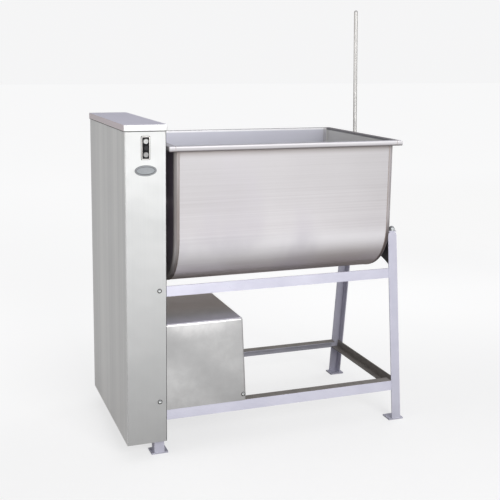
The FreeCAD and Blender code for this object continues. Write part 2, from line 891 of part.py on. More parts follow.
def motor_terminal_box():
    z0 = motor_z + motor_body_radius + 6.0
    z1 = z0 + terminal_box_height
    x0 = terminal_left
    x1 = terminal_left + terminal_box_length
    half = terminal_box_half_width
    base = box(x0, x1, motor_y - half, motor_y + half, z0, z1)
    upright = []
    for edge in base.Edges:
        ends = [vertex.Point.z for vertex in edge.Vertexes]
        if max(ends) - min(ends) > terminal_lid_height:
            upright.append(edge)
    base = base.makeFillet(6.0, upright)
    top = z1 + terminal_lid_height
    lid = box(x0 - 2, x1 + 2, motor_y - half - 2, motor_y + half + 2, z1, top)
    lid = lid.makeFillet(3.0, [e for e in lid.Edges if e.CenterOfMass.z > top - 0.1])
    gland = Part.makeCylinder(10.0, 14.0, V(x1 - 22, motor_y + half, (z0 + z1) / 2.0), V(0, 1, 0))
    return base.fuse(gland), lid


def motor_shaft():
    x0 = pulley_left - 2.0
    return disc(motor_shaft_radius, x0, motor_right - 14, motor_y, motor_z)


def motor_fan():
    x0 = motor_right - fan_inset
    fan = ring(fan_hub_radius, motor_shaft_radius, x0, x0 + fan_width, motor_y, motor_z)
    half_vane = motor_fin_thickness / 2.0
    for k in range(fan_blade_count):
        vane = box(x0, x0 + fan_width - 2.0, fan_hub_radius - 2.0, fan_radius, -half_vane, half_vane)
        vane.rotate(V(0, 0, 0), V(1, 0, 0), 360.0 * k / fan_blade_count)
        vane.translate(V(0, motor_y, motor_z))
        fan = fan.fuse(vane)
    return fan


def motor_tray():
    y0 = -(spread(frame_rail_top) - angle_size)
    z0 = frame_rail_top - angle_thickness
    x1 = cover_right_bottom + tray_overhang
    y1 = cover_back + tray_overhang
    return box(cabinet_right + 1.0, x1, y0, y1, z0, frame_rail_top)


def motor_cross_bars():
    bars = []
    z1 = frame_rail_top - angle_thickness
    reach = spread(frame_rail_top) - angle_thickness - 6.0
    for x in (motor_left + cross_bar_inset, motor_right - cross_bar_inset):
        x0 = x - cross_bar_half_width
        x1 = x + cross_bar_half_width
        bars.append(box(x0, x1, -reach, reach, z1 - cross_bar_thickness, z1))
    return group(bars)


def cover_block(inset):
    x0 = cabinet_right - sheet
    y0 = cover_front + inset
    y1 = cover_back - inset
    wires = []
    levels = [(cover_right_bottom - inset, frame_rail_top), (cover_right_top - inset, cover_top - inset)]
    for x1, z in levels:
        corners = [V(x0, y0, z), V(x1, y0, z), V(x1, y1, z), V(x0, y1, z)]
        wires.append(Part.makePolygon(corners + [corners[0]]))
    solid = Part.makeLoft(wires, True, True)
    edges = []
    for edge in solid.Edges:
        middle = edge.CenterOfMass
        if middle.x > cabinet_right + 1 and middle.z > frame_rail_top + 1:
            edges.append(edge)
    return solid.makeFillet(cover_round - inset, edges)


def motor_cover():
    return cover_block(0.0).cut(cover_block(sheet))


# Cabinet
def upright_edges(solid):
    edges = []
    for edge in solid.Edges:
        ends = [vertex.Point.z for vertex in edge.Vertexes]
        if max(ends) - min(ends) > cabinet_bottom:
            edges.append(edge)
    return edges


def cabinet_shell():
    low = cabinet_bottom
    top = cabinet_top + cap_height - lid_sheet
    d = cabinet_half_depth
    t = sheet
    outer = box(cabinet_left, cabinet_right, -d, d, low, top)
    outer = outer.makeFillet(cabinet_bend, upright_edges(outer))
    inner = box(cabinet_left + t, cabinet_right - t, t - d, d - t, low - 5, top + 5)
    inner = inner.makeFillet(cabinet_bend - t, upright_edges(inner))
    half = d - cabinet_return
    opening = box(cabinet_right - 2 * t, cabinet_right + 1, -half, half, low - 5, top + 5)
    solid = outer.cut(inner).cut(opening)
    half_w = switch_black_width / 2.0 + 1.0
    half_h = switch_black_height / 2.0 + 1.0
    x0 = switch_x - half_w
    window = box(x0, x0 + 2 * half_w, -d - 5, -d + 5, switch_z - half_h, switch_z + half_h)
    solid = solid.cut(window)
    for z in front_screw_heights:
        start = V(front_screw_x, -d - 10, z)
        solid = solid.cut(Part.makeCylinder(screw_shank_radius, 2 * d + 20, start, V(0, 1, 0)))
    return solid


def cabinet_inner_panel():
    top = cabinet_top + cap_height - lid_sheet
    d = cabinet_half_depth - cabinet_bend
    x1 = cabinet_right - sheet
    x0 = x1 - sheet
    solid = box(x0, x1, -d, d, cabinet_bottom, top)
    solid = solid.cut(disc(trunnion_radius + panel_hole_clearance, x0 - 1, x1 + 1, 0, axis_z))
    solid = solid.cut(disc(small_pulley_radius + panel_hole_clearance, x0 - 1, x1 + 1, motor_y, motor_z))
    for side_y in (-1, 1):
        for z0 in (bottom_rail_z, middle_rail_z):
            z1 = z0 + angle_size + 2.0
            far = spread(z0) + 2.0
            near = spread(z1) - angle_size - 2.0
            ys = sorted((side_y * far, side_y * near))
            solid = solid.cut(box(x0 - 1, x1 + 1, ys[0], ys[1], z0 - 2.0, z1))
    return solid


def cabinet_cap():
    d = cabinet_half_depth + cap_overhang
    x0 = cabinet_left - cap_overhang
    x1 = cabinet_right + cap_overhang
    top = cabinet_top + cap_height
    outer = box(x0, x1, -d, d, cabinet_top, top)
    edges = [e for e in outer.Edges if e.CenterOfMass.z > cabinet_top + 1]
    outer = outer.makeFillet(2.5, edges)
    wall = cap_overhang - fit_gap
    inner = box(x0 + wall, x1 - wall, -d + wall, d - wall, cabinet_top - 5, top - lid_sheet)
    return outer.cut(inner)


def cabinet_brackets():
    blocks = []
    reach = cabinet_half_depth - sheet
    for side_y in (-1, 1):
        for z in front_screw_heights:
            low = z - spacer_half_height
            high = z + spacer_half_height
            points = [(side_y * reach, low), (side_y * reach, high)]
            points += [(side_y * spread(high), high), (side_y * spread(low), low)]
            x0 = front_screw_x - spacer_half_width
            block = prism_x(points, x0, front_screw_x + spacer_half_width)
            ys = sorted((side_y * reach, side_y * (reach - spacer_hole_depth)))
            start = V(front_screw_x, ys[0], z)
            hole = Part.makeCylinder(screw_shank_radius, spacer_hole_depth, start, V(0, 1, 0))
            blocks.append(block.cut(hole))
    return group(blocks)


def panel_screw(x, y, z, side_y, length):
    direction = V(0, side_y, 0)
    base = V(x, y, z)
    rise = screw_head_height
    flat = Part.makeCylinder(screw_head_radius, 0.4 * rise, base, direction)
    start = base + direction * (0.4 * rise)
    dome = Part.makeCone(screw_head_radius, 0.6 * screw_head_radius, 0.6 * rise, start, direction)
    slot = box(x - 8, x + 8, y - 5, y + 5, z - screw_slot / 2.0, z + screw_slot / 2.0)
    slot.translate(direction * (5.0 + rise - 1.2))
    shank = Part.makeCylinder(screw_shank_radius, length, base - direction * length, direction)
    return flat.fuse(dome).cut(slot).fuse(shank)


def cabinet_screws():
    screws = []
    for side_y in (-1, 1):
        for z in front_screw_heights:
            y = side_y * cabinet_half_depth
            screws.append(panel_screw(front_screw_x, y, z, side_y, screw_length))
    return screws


def cover_screw():
    x = cover_right_bottom - cover_screw_inset
    z = frame_rail_top + cover_screw_height
    return panel_screw(x, cover_front, z, -1, cover_screw_length)


# Push-button station
def switch_plate():
    d = cabinet_half_depth
    w = switch_width / 2.0
    h = switch_height / 2.0
    plate = box(switch_x - w, switch_x + w, -d - switch_thickness, -d, switch_z - h, switch_z + h)
    corners = [e for e in plate.Edges if abs(e.Vertexes[0].Point.y - e.Vertexes[1].Point.y) > 1]
    plate = plate.makeFillet(5.0, corners)
    bw = switch_black_width / 2.0
    bh = switch_black_height / 2.0
    window = box(switch_x - bw, switch_x + bw, -d - 10, -d + 10, switch_z - bh, switch_z + bh)
    return plate.cut(window)


def button_heights():
    return (switch_z + button_step, switch_z, switch_z - button_step)


def switch_body():
    d = cabinet_half_depth
    bw = switch_black_width / 2.0
    bh = switch_black_height / 2.0
    front = -d - switch_thickness + 1.0
    back = -d + switch_box_depth
    body = box(switch_x - bw, switch_x + bw, front, back, switch_z - bh, switch_z + bh)
    wide_x = bw + 5.0
    wide_z = bh + 8.0
    wide = box(switch_x - wide_x, switch_x + wide_x, -d + sheet, back, switch_z - wide_z, switch_z + wide_z)
    body = body.fuse(wide).removeSplitter()
    for z in button_heights():
        start = V(switch_x, front - 1, z)
        body = body.cut(Part.makeCylinder(button_radius + button_gap, button_bore_depth, start, V(0, 1, 0)))
    return body


def button(z):
    front = -cabinet_half_depth - switch_thickness + 1.0 - button_stand
    length = button_stand + button_stem
    solid = Part.makeCylinder(button_radius, length, V(switch_x, front, z), V(0, 1, 0))
    edges = [e for e in solid.Edges if abs(e.CenterOfMass.y - front) < 0.1]
    return solid.makeFillet(1.6, edges)


def badge_solid(half_width, half_height, front, depth):
    centre = V(switch_x, -cabinet_half_depth, badge_z)
    edge = Part.Ellipse(centre, half_width, half_height).toShape()
    face = Part.Face(Part.Wire([edge]))
    face.rotate(centre, V(1, 0, 0), 90)
    face.translate(V(0, -front, 0))
    return face.extrude(V(0, -depth, 0))


def badge_plate():
    plate = badge_solid(badge_half_width, badge_half_height, 0.0, badge_thickness)
    low = badge_thickness - badge_recess
    inner_width = badge_half_width - badge_ring
    inner_height = badge_half_height - badge_ring
    recess = badge_solid(inner_width, inner_height, low, badge_thickness)
    return plate.cut(recess)


def save_frame():
    for name, side_y in (("front", -1), ("back", 1)):
        save(leg(right_leg_outer, 1, side_y), "leg_" + name + "_right")
        save(leg(left_leg_outer, -1, side_y), "leg_" + name + "_left")
        save(long_rail(bottom_rail_z, side_y, True), name + "_bottom_rail")
        save(long_rail(middle_rail_z, side_y, False), name + "_middle_rail")
    save(end_rail(right_leg_outer, 1), "right_end_rail")
    save(end_rail(left_leg_outer, -1), "left_end_rail")
    save(foot_plates(), "foot_plates")
    pads, nuts = leg_caps()
    save(pads, "leg_top_pads")
    save(nuts, "leg_top_nuts")


def save_bearings():
    trunnion_hole = (trunnion_radius + plate_hole_clearance, axis_z)
    counter_hole = (countershaft_spigot_radius, countershaft_z)
    right_plate = bearing_plate(right_plate_x, bearing_plate_low, True, [trunnion_hole])
    left_plate = bearing_plate(left_plate_x, left_plate_low, False, [trunnion_hole, counter_hole])
    left_seat = left_plate_x + bearing_plate_thickness
    grip = bearing_flange + bearing_plate_thickness
    counter_grip = countershaft_flange + bearing_plate_thickness
    circle = bearing_bolt_circle
    bolts = bearing_bolts(left_seat + bearing_flange, 1, grip, circle, axis_z)
    bolts += bearing_bolts(right_plate_x - bearing_flange, -1, grip, circle, axis_z)
    counter_head = left_seat + countershaft_flange
    bolts += bearing_bolts(counter_head, 1, counter_grip, countershaft_bolt_circle, countershaft_z)
    for bolt in bolts:
        left_plate = left_plate.cut(bolt)
        right_plate = right_plate.cut(bolt)
    save(right_plate, "right_bearing_plate")
    save(left_plate, "left_bearing_plate")
    save(flange_bearing(left_seat, 1), "left_trunnion_bearing")
    save(flange_bearing(right_plate_x, -1), "right_trunnion_bearing")
    save(group(bolts), "bearing_bolts")


def save_trough():
    shell = trough_shell()
    save(trough_wrap(), "trough_wrap")
    save(head(shell, trough_left - 1, trough_left + head_band), "trough_left_head")
    save(head(shell, trough_right - head_band, trough_right + 1), "trough_right_head")
    save(rim(), "trough_rim")
    save(trunnion(-1), "left_trunnion")
    save(trunnion(1), "right_trunnion")
    save(trunnion_bushes(), "trunnion_bushes")
    save(shaft_glands(), "shaft_glands")
    save(lever_rod(), "lever_rod")
    save(lever_brackets(), "lever_brackets")
    save(lever_collar(), "lever_collar")


def save_rotor():
    arms = mixing_arms()
    save(mixing_shaft(), "mixing_shaft")
    save(arms, "mixing_arms")
    save(mixing_blades(arms), "mixing_blades")


def save_drive():
    save(main_gear(), "main_gear")
    save(pinion(), "pinion")
    save(countershaft(), "countershaft")
    save(countershaft_bearing(), "countershaft_bearing")
    save(big_pulley(), "big_pulley")
    save(v_belts(), "v_belts")
    save(pulley(small_pulley_radius, motor_shaft_radius, motor_y, motor_z), "motor_pulley")


def save_motor():
    save(motor_body(), "motor_body")
    save(motor_end_bells(), "motor_end_bells")
    save(motor_fan_cowl(), "motor_fan_cowl")
    terminal_box, terminal_lid = motor_terminal_box()
    save(terminal_box, "motor_terminal_box")
    save(terminal_lid, "motor_terminal_lid")
    save(motor_shaft(), "motor_shaft")
    save(motor_fan(), "motor_fan")
    save(motor_tray(), "motor_tray")
    save(motor_cross_bars(), "motor_cross_bars")


def save_cabinet():
    screw = cover_screw()
    save(motor_cover().cut(screw), "motor_cover")
    save(cabinet_shell(), "cabinet_shell")
    save(cabinet_inner_panel(), "cabinet_inner_panel")
    save(cabinet_cap(), "cabinet_cap")
    save(cabinet_brackets(), "cabinet_brackets")
    save(group(cabinet_screws() + [screw]), "panel_screws")
    save(switch_plate(), "switch_plate")
    save(switch_body(), "switch_body")
    names = ("forward_button", "reverse_button", "stop_button")
    for name, z in zip(names, button_heights()):
        save(button(z), name)
    save(badge_plate(), "badge_plate")


save_frame()
save_bearings()
save_trough()
save_rotor()
save_drive()
save_motor()
save_cabinet()
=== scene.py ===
import math

import bmesh
import bpy
import numpy as np
from mathutils import Matrix, Vector


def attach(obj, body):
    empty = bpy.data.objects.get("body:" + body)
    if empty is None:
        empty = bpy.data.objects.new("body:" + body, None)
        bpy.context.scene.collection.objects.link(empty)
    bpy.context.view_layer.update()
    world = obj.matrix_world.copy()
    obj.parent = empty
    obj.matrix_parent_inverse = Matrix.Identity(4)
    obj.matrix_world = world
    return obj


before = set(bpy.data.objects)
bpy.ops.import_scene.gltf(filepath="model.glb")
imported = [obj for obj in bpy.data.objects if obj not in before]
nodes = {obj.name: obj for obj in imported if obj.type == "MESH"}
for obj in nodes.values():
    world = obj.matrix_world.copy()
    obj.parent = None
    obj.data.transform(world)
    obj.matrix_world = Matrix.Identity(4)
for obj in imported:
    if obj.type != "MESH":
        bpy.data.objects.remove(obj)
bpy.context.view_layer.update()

# Sizes of the machine in metres, as in the solids
CABINET_LEFT = -0.6035
CABINET_RIGHT = -0.4475
CABINET_HALF_DEPTH = 0.330
TROUGH_LEFT = -0.4125
TROUGH_RIGHT = 0.5075
TROUGH_HALF = 0.308
TROUGH_TOP = 1.200
HEAD_BAND = 0.020
CORNER_RADIUS = 0.200
CORNER_Z = 0.848
FLOOR_RADIUS = 0.600
RIM_HEIGHT = 0.020
LEAN = 0.1235
FOOT_SPREAD = 0.3075
CABINET_TOP = 1.260
CABINET_BEND = 0.004
HEAD_ROUND = 0.014
RIM_WIDTH = 0.025
RIM_ROUND = 0.0025
LEFT_LEG_OUTER = -0.492
LEFT_LEG_INNER = -0.452
RIGHT_LEG_INNER = 0.5545
RIGHT_LEG_OUTER = 0.5945
ANGLE_SIZE = 0.040
RAIL_HEIGHTS = (0.1285, 0.607)
FOOT_THICKNESS = 0.006
SWITCH_X = -0.5255
SWITCH_Z = CABINET_TOP - 0.062
PLATE_THICKNESS = 0.003
BUTTON_STEP = 0.024
BEZEL_RADIUS = 0.0102
BADGE_Z = CABINET_TOP - 0.145
SCREW_X = -0.4755
SCREW_HEIGHTS = (0.222, 0.660)
COVER_FRONT = -0.290
COVER_SCREW_X = -0.1205
COVER_SCREW_Z = 0.1945
SIDES = (-1, 1)

# Sizes of the added trim in metres: a wire's radius, and how far its middle stands off the sheet
WELD_RADIUS = 0.0013
RIM_WELD_RADIUS = 0.0018
SEAM_RADIUS = 0.0007
BEAD_STEP = 0.0015
SHADOW_SEAL_RADIUS = 0.0026
SHADOW_SEAL_PROUD = 0.0003
SHADOW_SEAL_DROP = 0.0008
GASKET_HALF = (0.0162, 0.0425)
GASKET_CORNER = 0.003
GASKET_PROUD = 0.0008
LIP_HALF = (0.0121, 0.0384)
LIP_CORNER = 0.0015
TRIM_RADIUS = 0.0012
BEZEL_WIRE = 0.0008
BEZEL_PROUD = 0.0020
BADGE_LINES = ((0.0398, 0.0188, 0.0008, 0.0012), (0.0350, 0.0140, 0.0012, 0.0009))
WASHER_RADIUS = 0.0078
WASHER_WIRE = 0.0013
WASHER_PROUD = 0.0006


# Shader expressions
class Value:
    """A shader socket that can stand in a Python expression."""

    def __init__(self, graph, socket):
        self.graph = graph
        self.socket = socket

    def __add__(self, other):
        return self.graph.math("ADD", self, other)

    def __sub__(self, other):
        return self.graph.math("SUBTRACT", self, other)

    def __rsub__(self, other):
        return self.graph.math("SUBTRACT", other, self)

    def __mul__(self, other):
        return self.graph.math("MULTIPLY", self, other)

    def __truediv__(self, other):
        return self.graph.math("DIVIDE", self, other)

    def __pow__(self, other):
        return self.graph.math("POWER", self, other)

    __radd__ = __add__
    __rmul__ = __mul__


class Graph:
    """The node tree of one material, with short ways to make its nodes."""

    def __init__(self, tree):
        self.tree = tree

    def node(self, kind, settings=None, inputs=None, out=0):
        made = self.tree.nodes.new(kind)
        for key, value in (settings or {}).items():
            if key == "stops":
                ramp = made.color_ramp
                while len(ramp.elements) < len(value):
                    ramp.elements.new(0.5)
                for element, (place, colour) in zip(ramp.elements, value):
                    element.position = place
                    element.color = (*colour, 1.0)
            else:
                setattr(made, key, value)
        for key, value in (inputs or {}).items():
            socket = made.inputs[key]
            if isinstance(value, Value):
                self.tree.links.new(value.socket, socket)
            else:
                socket.default_value = value
        return Value(self, made.outputs[out])

    def math(self, operation, a, b):
        return self.node("ShaderNodeMath", {"operation": operation}, {0: a, 1: b})

    def place(self, scale=(1, 1, 1), shift=(0, 0, 0)):
        """Object coordinates, scaled and shifted."""
        at = self.node("ShaderNodeTexCoord", out="Object")
        return self.node("ShaderNodeMapping", inputs={"Vector": at, "Scale": scale, "Location": shift})

    def axis(self, name):
        at = self.node("ShaderNodeTexCoord", out="Object")
        return self.node("ShaderNodeSeparateXYZ", inputs={0: at}, out=name)

    def facing(self, name):
        """One component of the surface's outward normal, in the object's own axes."""
        normal = self.node("ShaderNodeTexCoord", out="Normal")
        return self.node("ShaderNodeSeparateXYZ", inputs={0: normal}, out=name)

    def noise(self, scale=(1, 1, 1), size=1.0, detail=4.0, rough=0.55, shift=(0, 0, 0)):
        inputs = {"Vector": self.place(scale, shift), "Scale": size, "Detail": detail, "Roughness": rough}
        return self.node("ShaderNodeTexNoise", inputs=inputs)

    def step(self, value, low, high, soft=True):
        """0 below low and 1 above high, smooth in between."""
        kind = {"interpolation_type": "SMOOTHSTEP" if soft else "LINEAR"}
        return self.node("ShaderNodeMapRange", kind, {"Value": value, "From Min": low, "From Max": high})

    def mix(self, share, first, second):
        """Colours first and second mixed by share."""
        first = (*first, 1.0) if isinstance(first, tuple) else first
        second = (*second, 1.0) if isinstance(second, tuple) else second
        return self.node("ShaderNodeMix", {"data_type": "RGBA"}, {0: share, 6: first, 7: second}, out=2)

    def distance(self, axes, centre, reach):
        """How far a point is from centre in the plane of two axes: 1 on the ellipse of half sizes reach."""
        first = (self.axis(axes[0]) - centre[0]) / reach[0]
        second = (self.axis(axes[1]) - centre[1]) / reach[1]
        return (first * first + second * second) ** 0.5

    def ramp(self, value, stops):
        return self.node("ShaderNodeValToRGB", {"stops": stops}, {0: value})

    def bump(self, height, strength, distance, under=None):
        inputs = {"Height": height, "Strength": strength, "Distance": distance}
        if under is not None:
            inputs["Normal"] = under
        return self.node("ShaderNodeBump", inputs=inputs)


materials = {}

# Scales of the steel's noise, in waves for each metre
HAIR_LENGTHWISE = 1.2
HAIR_ACROSS = 420.0
BAND_LENGTHWISE = 0.7
BAND_ACROSS = 120.0
BAND_UNBRUSHED = 24.0


def make(name, recipe, **constant):
    """Makes a material from a recipe. Its build(graph) gives the varying sockets, and what the recipe fixes
    and constant go on the shader's own sockets."""
    build, fixed = recipe
    made = bpy.data.materials.new(name)
    made.use_nodes = True
    tree = made.node_tree
    shader = tree.nodes["Principled BSDF"]
    for key, value in {**fixed, **constant}.items():
        shader.inputs[key.replace("_", " ")].default_value = value
    for key, value in build(Graph(tree)).items():
        tree.links.new(value.socket, shader.inputs[key])
    materials[name] = made


def brushed_steel(pale, dark, brushed, rough, metal, shade, grain=0.5, dents=0.0, streaks=0.9):
    """Sheet steel brushed along one axis: long thin streaks, faint cloudy handling marks and a few dents."""
    fine = tuple(HAIR_LENGTHWISE if axis == brushed else HAIR_ACROSS for axis in "XYZ")
    across = BAND_ACROSS if brushed else BAND_UNBRUSHED
    wide = tuple(BAND_LENGTHWISE if axis == brushed else across for axis in "XYZ")

    def build(g):
        hair = g.noise(fine, detail=3.0)
        band = g.noise(wide, detail=5.0, rough=0.65)
        cloud = g.noise((1, 1, 1), 3.2, 5.0, shift=(3.1, 0.4, 1.7))
        smear = g.noise((1, 1, 1), 17.0, 6.0, 0.6, shift=(0.7, 2.2, 0.1))
        share = (hair - 0.5) * grain + (band - 0.5) * streaks + (cloud - 0.5) * 0.8 + 0.5
        colour = g.mix(g.step(share, 0.1, 0.9, False), dark, pale)
        colour = shade(g, colour)
        wear = g.step(smear, 0.55, 0.75)
        roughness = (hair - 0.5) * 0.16 + (cloud - 0.5) * 0.18 + wear * 0.06 + rough
        normal = g.bump(hair * 0.6 + band * 0.4, 0.12, 0.0006)
        if dents:
            normal = g.bump(g.noise((1, 1, 1), 5.5, 2.0), dents, 0.02, normal)
        return {"Base Color": colour, "Roughness": roughness, "Normal": normal}

    return build, {"Metallic": metal}


def soft_spot(g, x, z, wide, high):
    """1 at the point (x, z) of an upright sheet, fading to 0 over an ellipse round it."""
    return 1.0 - g.step(g.distance("XZ", (x, z), (wide, high)), 0.0, 1.0)


# Tones laid over the finishes: mostly painted light, shade, highlights and reflections, with some random tone and
# mottle, each list above the shade that uses it
WALL_GLOW = (0.86, 0.845, 0.86)
WALL_LIT_BAND = (0.92, 0.90, 0.92)
WALL_CORNER_SHADE = (0.52, 0.40, 0.36)
WALL_CORNER_SHADE_RIGHT = (0.34, 0.28, 0.26)
WALL_UPPER_SHADE = (0.47, 0.46, 0.465)
WALL_LEFT_SHADE = (0.36, 0.35, 0.36)
WALL_BLUSH = (0.50, 0.47, 0.53)
WALL_RIM_SHADOW = (0.20, 0.165, 0.15)
INSIDE_LIT = (0.86, 0.86, 0.93)
INSIDE_SHADE = (0.55, 0.555, 0.625)
INSIDE_LIP_HIGHLIGHT = (0.86, 0.86, 0.88)


def trough_shade(g, colour):
    """Painted light and shade on the wall: a painted glow low down and a painted lit band above the lower corner,
    painted shade round the lower corner, towards the top and on the left, and a painted shadow right under the
    rim, over a random lilac blush. The inside is painted as lit lilac grey, in painted shade towards the rim,
    with a painted highlight along the top lip."""
    height = g.axis("Z")
    # Painted light: a glow on the lower wall
    glow = 1.0 - g.step(height, 0.87, 0.99)
    colour = g.mix(glow * 0.12, colour, WALL_GLOW)
    # Painted light: a lit band just above the lower corner
    lit_band = g.step(height, 0.67, 0.765) * (1.0 - g.step(height, 0.800, 0.868))
    colour = g.mix(lit_band * 0.72, colour, WALL_LIT_BAND)
    # Painted shade round the lower corner, where the wall turns downwards
    low = 1.0 - g.step(height, 0.66, 0.77)
    colour = g.mix(low * 0.32, colour, WALL_CORNER_SHADE)
    # Deeper painted shade round the lower corner towards the right
    far = g.step(g.axis("X"), -0.10, 0.34) * (1.0 - g.step(height, 0.73, 0.81))
    colour = g.mix(far * 0.42, colour, WALL_CORNER_SHADE_RIGHT)
    # Painted shade towards the top of the wall
    upper_shade = g.step(height, 0.86, 1.16)
    colour = g.mix(upper_shade * 0.50, colour, WALL_UPPER_SHADE)
    # Painted shade on the left part of the wall, strongest up high
    near = 1.0 - g.step(g.axis("X"), -0.38, 0.20)
    colour = g.mix(near * (upper_shade * 0.32 + 0.08), colour, WALL_LEFT_SHADE)
    blush = g.noise((1.0, 1.0, 0.5), 3.4, 3.0, shift=(0.4, 0.0, 0.2))
    colour = g.mix(g.step(blush, 0.42, 0.66) * 0.35, colour, WALL_BLUSH)
    # Painted shadow right under the rim
    rim_shadow = g.step(height, 1.150, 1.182)
    colour = g.mix(rim_shadow * 0.75, colour, WALL_RIM_SHADOW)
    # The inward faces are painted as lit lilac grey steel, in painted shade towards the rim, with a painted
    # highlight along the top lip
    inside = g.step(g.axis("Y") * g.facing("Y") * -1.0, 0.10, 0.20)
    deep = g.mix(g.step(height, 1.02, 1.17), INSIDE_LIT, INSIDE_SHADE)
    deep = g.mix(g.step(height, 1.190, 1.195), deep, INSIDE_LIP_HIGHLIGHT)
    return g.mix(inside * 0.9, colour, deep)


def at_left_band(g):
    """1 on the left head and 0 on the right one."""
    return 1.0 - g.step(g.axis("X"), -0.35, -0.30)


HEAD_EDGE_HIGHLIGHT = (0.60, 0.56, 0.54)
HEAD_GAP_SHADE = (0.27, 0.225, 0.28)
HEAD_BROWN_BAND = (0.235, 0.205, 0.190)
HEAD_LOW_SHADE = (0.11, 0.095, 0.09)
FLANGE_DULL = (0.34, 0.315, 0.315)
FLANGE_CORNER_SHADE = (0.085, 0.062, 0.058)
HEAD_INSIDE_LIT = (0.84, 0.84, 0.80)
HEAD_WITHIN_TOP = (0.24, 0.235, 0.24)


def head_shade(g, colour):
    """Like the wall, with a dull brown flange and a painted highlight on the left rounded edge. The face turned
    to the cabinet is painted dark as shade, the left band and the right flange are in painted shade round the
    lower corner, and the right head's inside is painted as lit, with a dark line along its top."""
    colour = trough_shade(g, colour)
    # Painted shade: the face turned to the cabinet, deep in the gap, is painted dark
    gap_shade = g.step(g.facing("X") * -1.0, 0.93, 0.985)
    at_left = 1.0 - g.step(g.axis("X"), -0.405, -0.395)
    # Painted highlight on the left head's rounded edge
    colour = g.mix(g.step(g.facing("X") * -1.0, 0.3, 0.9) * at_left, colour, HEAD_EDGE_HIGHLIGHT)
    colour = g.mix(gap_shade * at_left, colour, HEAD_GAP_SHADE)
    # A brown band along the left flange, fading towards the top
    brown_band = g.step(g.axis("X"), -0.409, -0.401) * at_left_band(g)
    faded = 1.0 - g.step(g.axis("Z"), 0.95, 1.12) * 0.35
    colour = g.mix(brown_band * faded * 0.82, colour, HEAD_BROWN_BAND)
    # Painted shade on the left band round the lower corner
    shaded_lower_band = at_left_band(g) * (1.0 - g.step(g.axis("Z"), 0.70, 0.82))
    colour = g.mix(shaded_lower_band * 0.75, colour, HEAD_LOW_SHADE)
    right_flange = g.step(g.axis("X"), 0.484, 0.489)
    # The right flange is duller, and in painted shade round the lower corner
    flange_corner_shade = 1.0 - g.step(g.axis("Z"), 0.800, 0.905)
    colour = g.mix(right_flange * 0.45, colour, FLANGE_DULL)
    colour = g.mix(right_flange * flange_corner_shade * 0.92, colour, FLANGE_CORNER_SHADE)
    # The right head's inside is painted as lit pale steel, with a dark line along its top
    within = g.step(g.facing("X") * -1.0, 0.5, 0.9) * g.step(g.axis("X"), 0.45, 0.50)
    colour = g.mix(within * 0.85, colour, HEAD_INSIDE_LIT)
    return g.mix(within * g.step(g.axis("Z"), 1.189, 1.194) * 0.95, colour, HEAD_WITHIN_TOP)


RIM_LOWER_SHADE = (0.10, 0.085, 0.085)
RIM_RIGHT_LIT = (0.74, 0.72, 0.74)
RIM_UPWARD_LIT = (0.70, 0.695, 0.74)
RIM_EDGE_HIGHLIGHT = (0.84, 0.82, 0.84)
RIM_INWARD_SHADE = (0.60, 0.60, 0.67)
RIM_BACK_TOP = (0.26, 0.26, 0.275)
RIM_RIGHT_TOP = (0.20, 0.19, 0.20)


def rim_shade(g, colour):
    """The front tube has a painted highlight on its top edge, painted light on its right half and painted shade
    on its lower edge; upward faces are painted as lit, inward faces in painted shade, and the back and right
    tubes are dull on top."""
    height = g.axis("Z")
    upright = 1.0 - g.step(g.facing("Z"), 0.3, 0.9)
    # Painted shade on the lower edge of the upright faces
    colour = g.mix((1.0 - g.step(height, 1.1805, 1.1885)) * upright * 0.95, colour, RIM_LOWER_SHADE)
    # Painted light on the upper front face's right half
    lit_right_half = g.step(g.axis("X"), 0.0, 0.40)
    colour = g.mix(lit_right_half * upright * g.step(height, 1.186, 1.191) * 0.45, colour, RIM_RIGHT_LIT)
    # Upward faces painted as lit lilac steel
    colour = g.mix(g.step(g.facing("Z"), 0.5, 0.9), colour, RIM_UPWARD_LIT)
    # Painted highlight along the front tube's top edge
    front_tube = g.step(g.axis("Y") * -1.0, 0.320, 0.326)
    edge_highlight = front_tube * g.step(height, 1.192, 1.196) * (1.0 - g.step(g.facing("Z"), 0.93, 0.99))
    colour = g.mix(edge_highlight * 0.9, colour, RIM_EDGE_HIGHLIGHT)
    # Inward faces painted as steel in shade
    inward = g.step(g.axis("Y") * g.facing("Y") * -1.0, 0.10, 0.20)
    colour = g.mix(inward, colour, RIM_INWARD_SHADE)
    top = g.step(height, 1.1985, 1.1998)
    colour = g.mix(top * g.step(g.axis("Y"), 0.300, 0.312), colour, RIM_BACK_TOP)
    at_right = g.step(g.axis("X"), 0.500, 0.506)
    behind = g.step(g.axis("Y"), -0.300, -0.285)
    return g.mix(top * at_right * behind * 0.9, colour, RIM_RIGHT_TOP)


CABINET_LOW_SHADE = (0.40, 0.40, 0.395)
CABINET_DEEP_SHADE = (0.32, 0.32, 0.315)
CABINET_LID_SHADE = (0.45, 0.45, 0.445)
SIDE_LIT_DULL = (0.80, 0.80, 0.79)
SIDE_LIT_BRIGHT = (0.92, 0.92, 0.90)
CABINET_BEND_SHADE = (0.012, 0.012, 0.014)


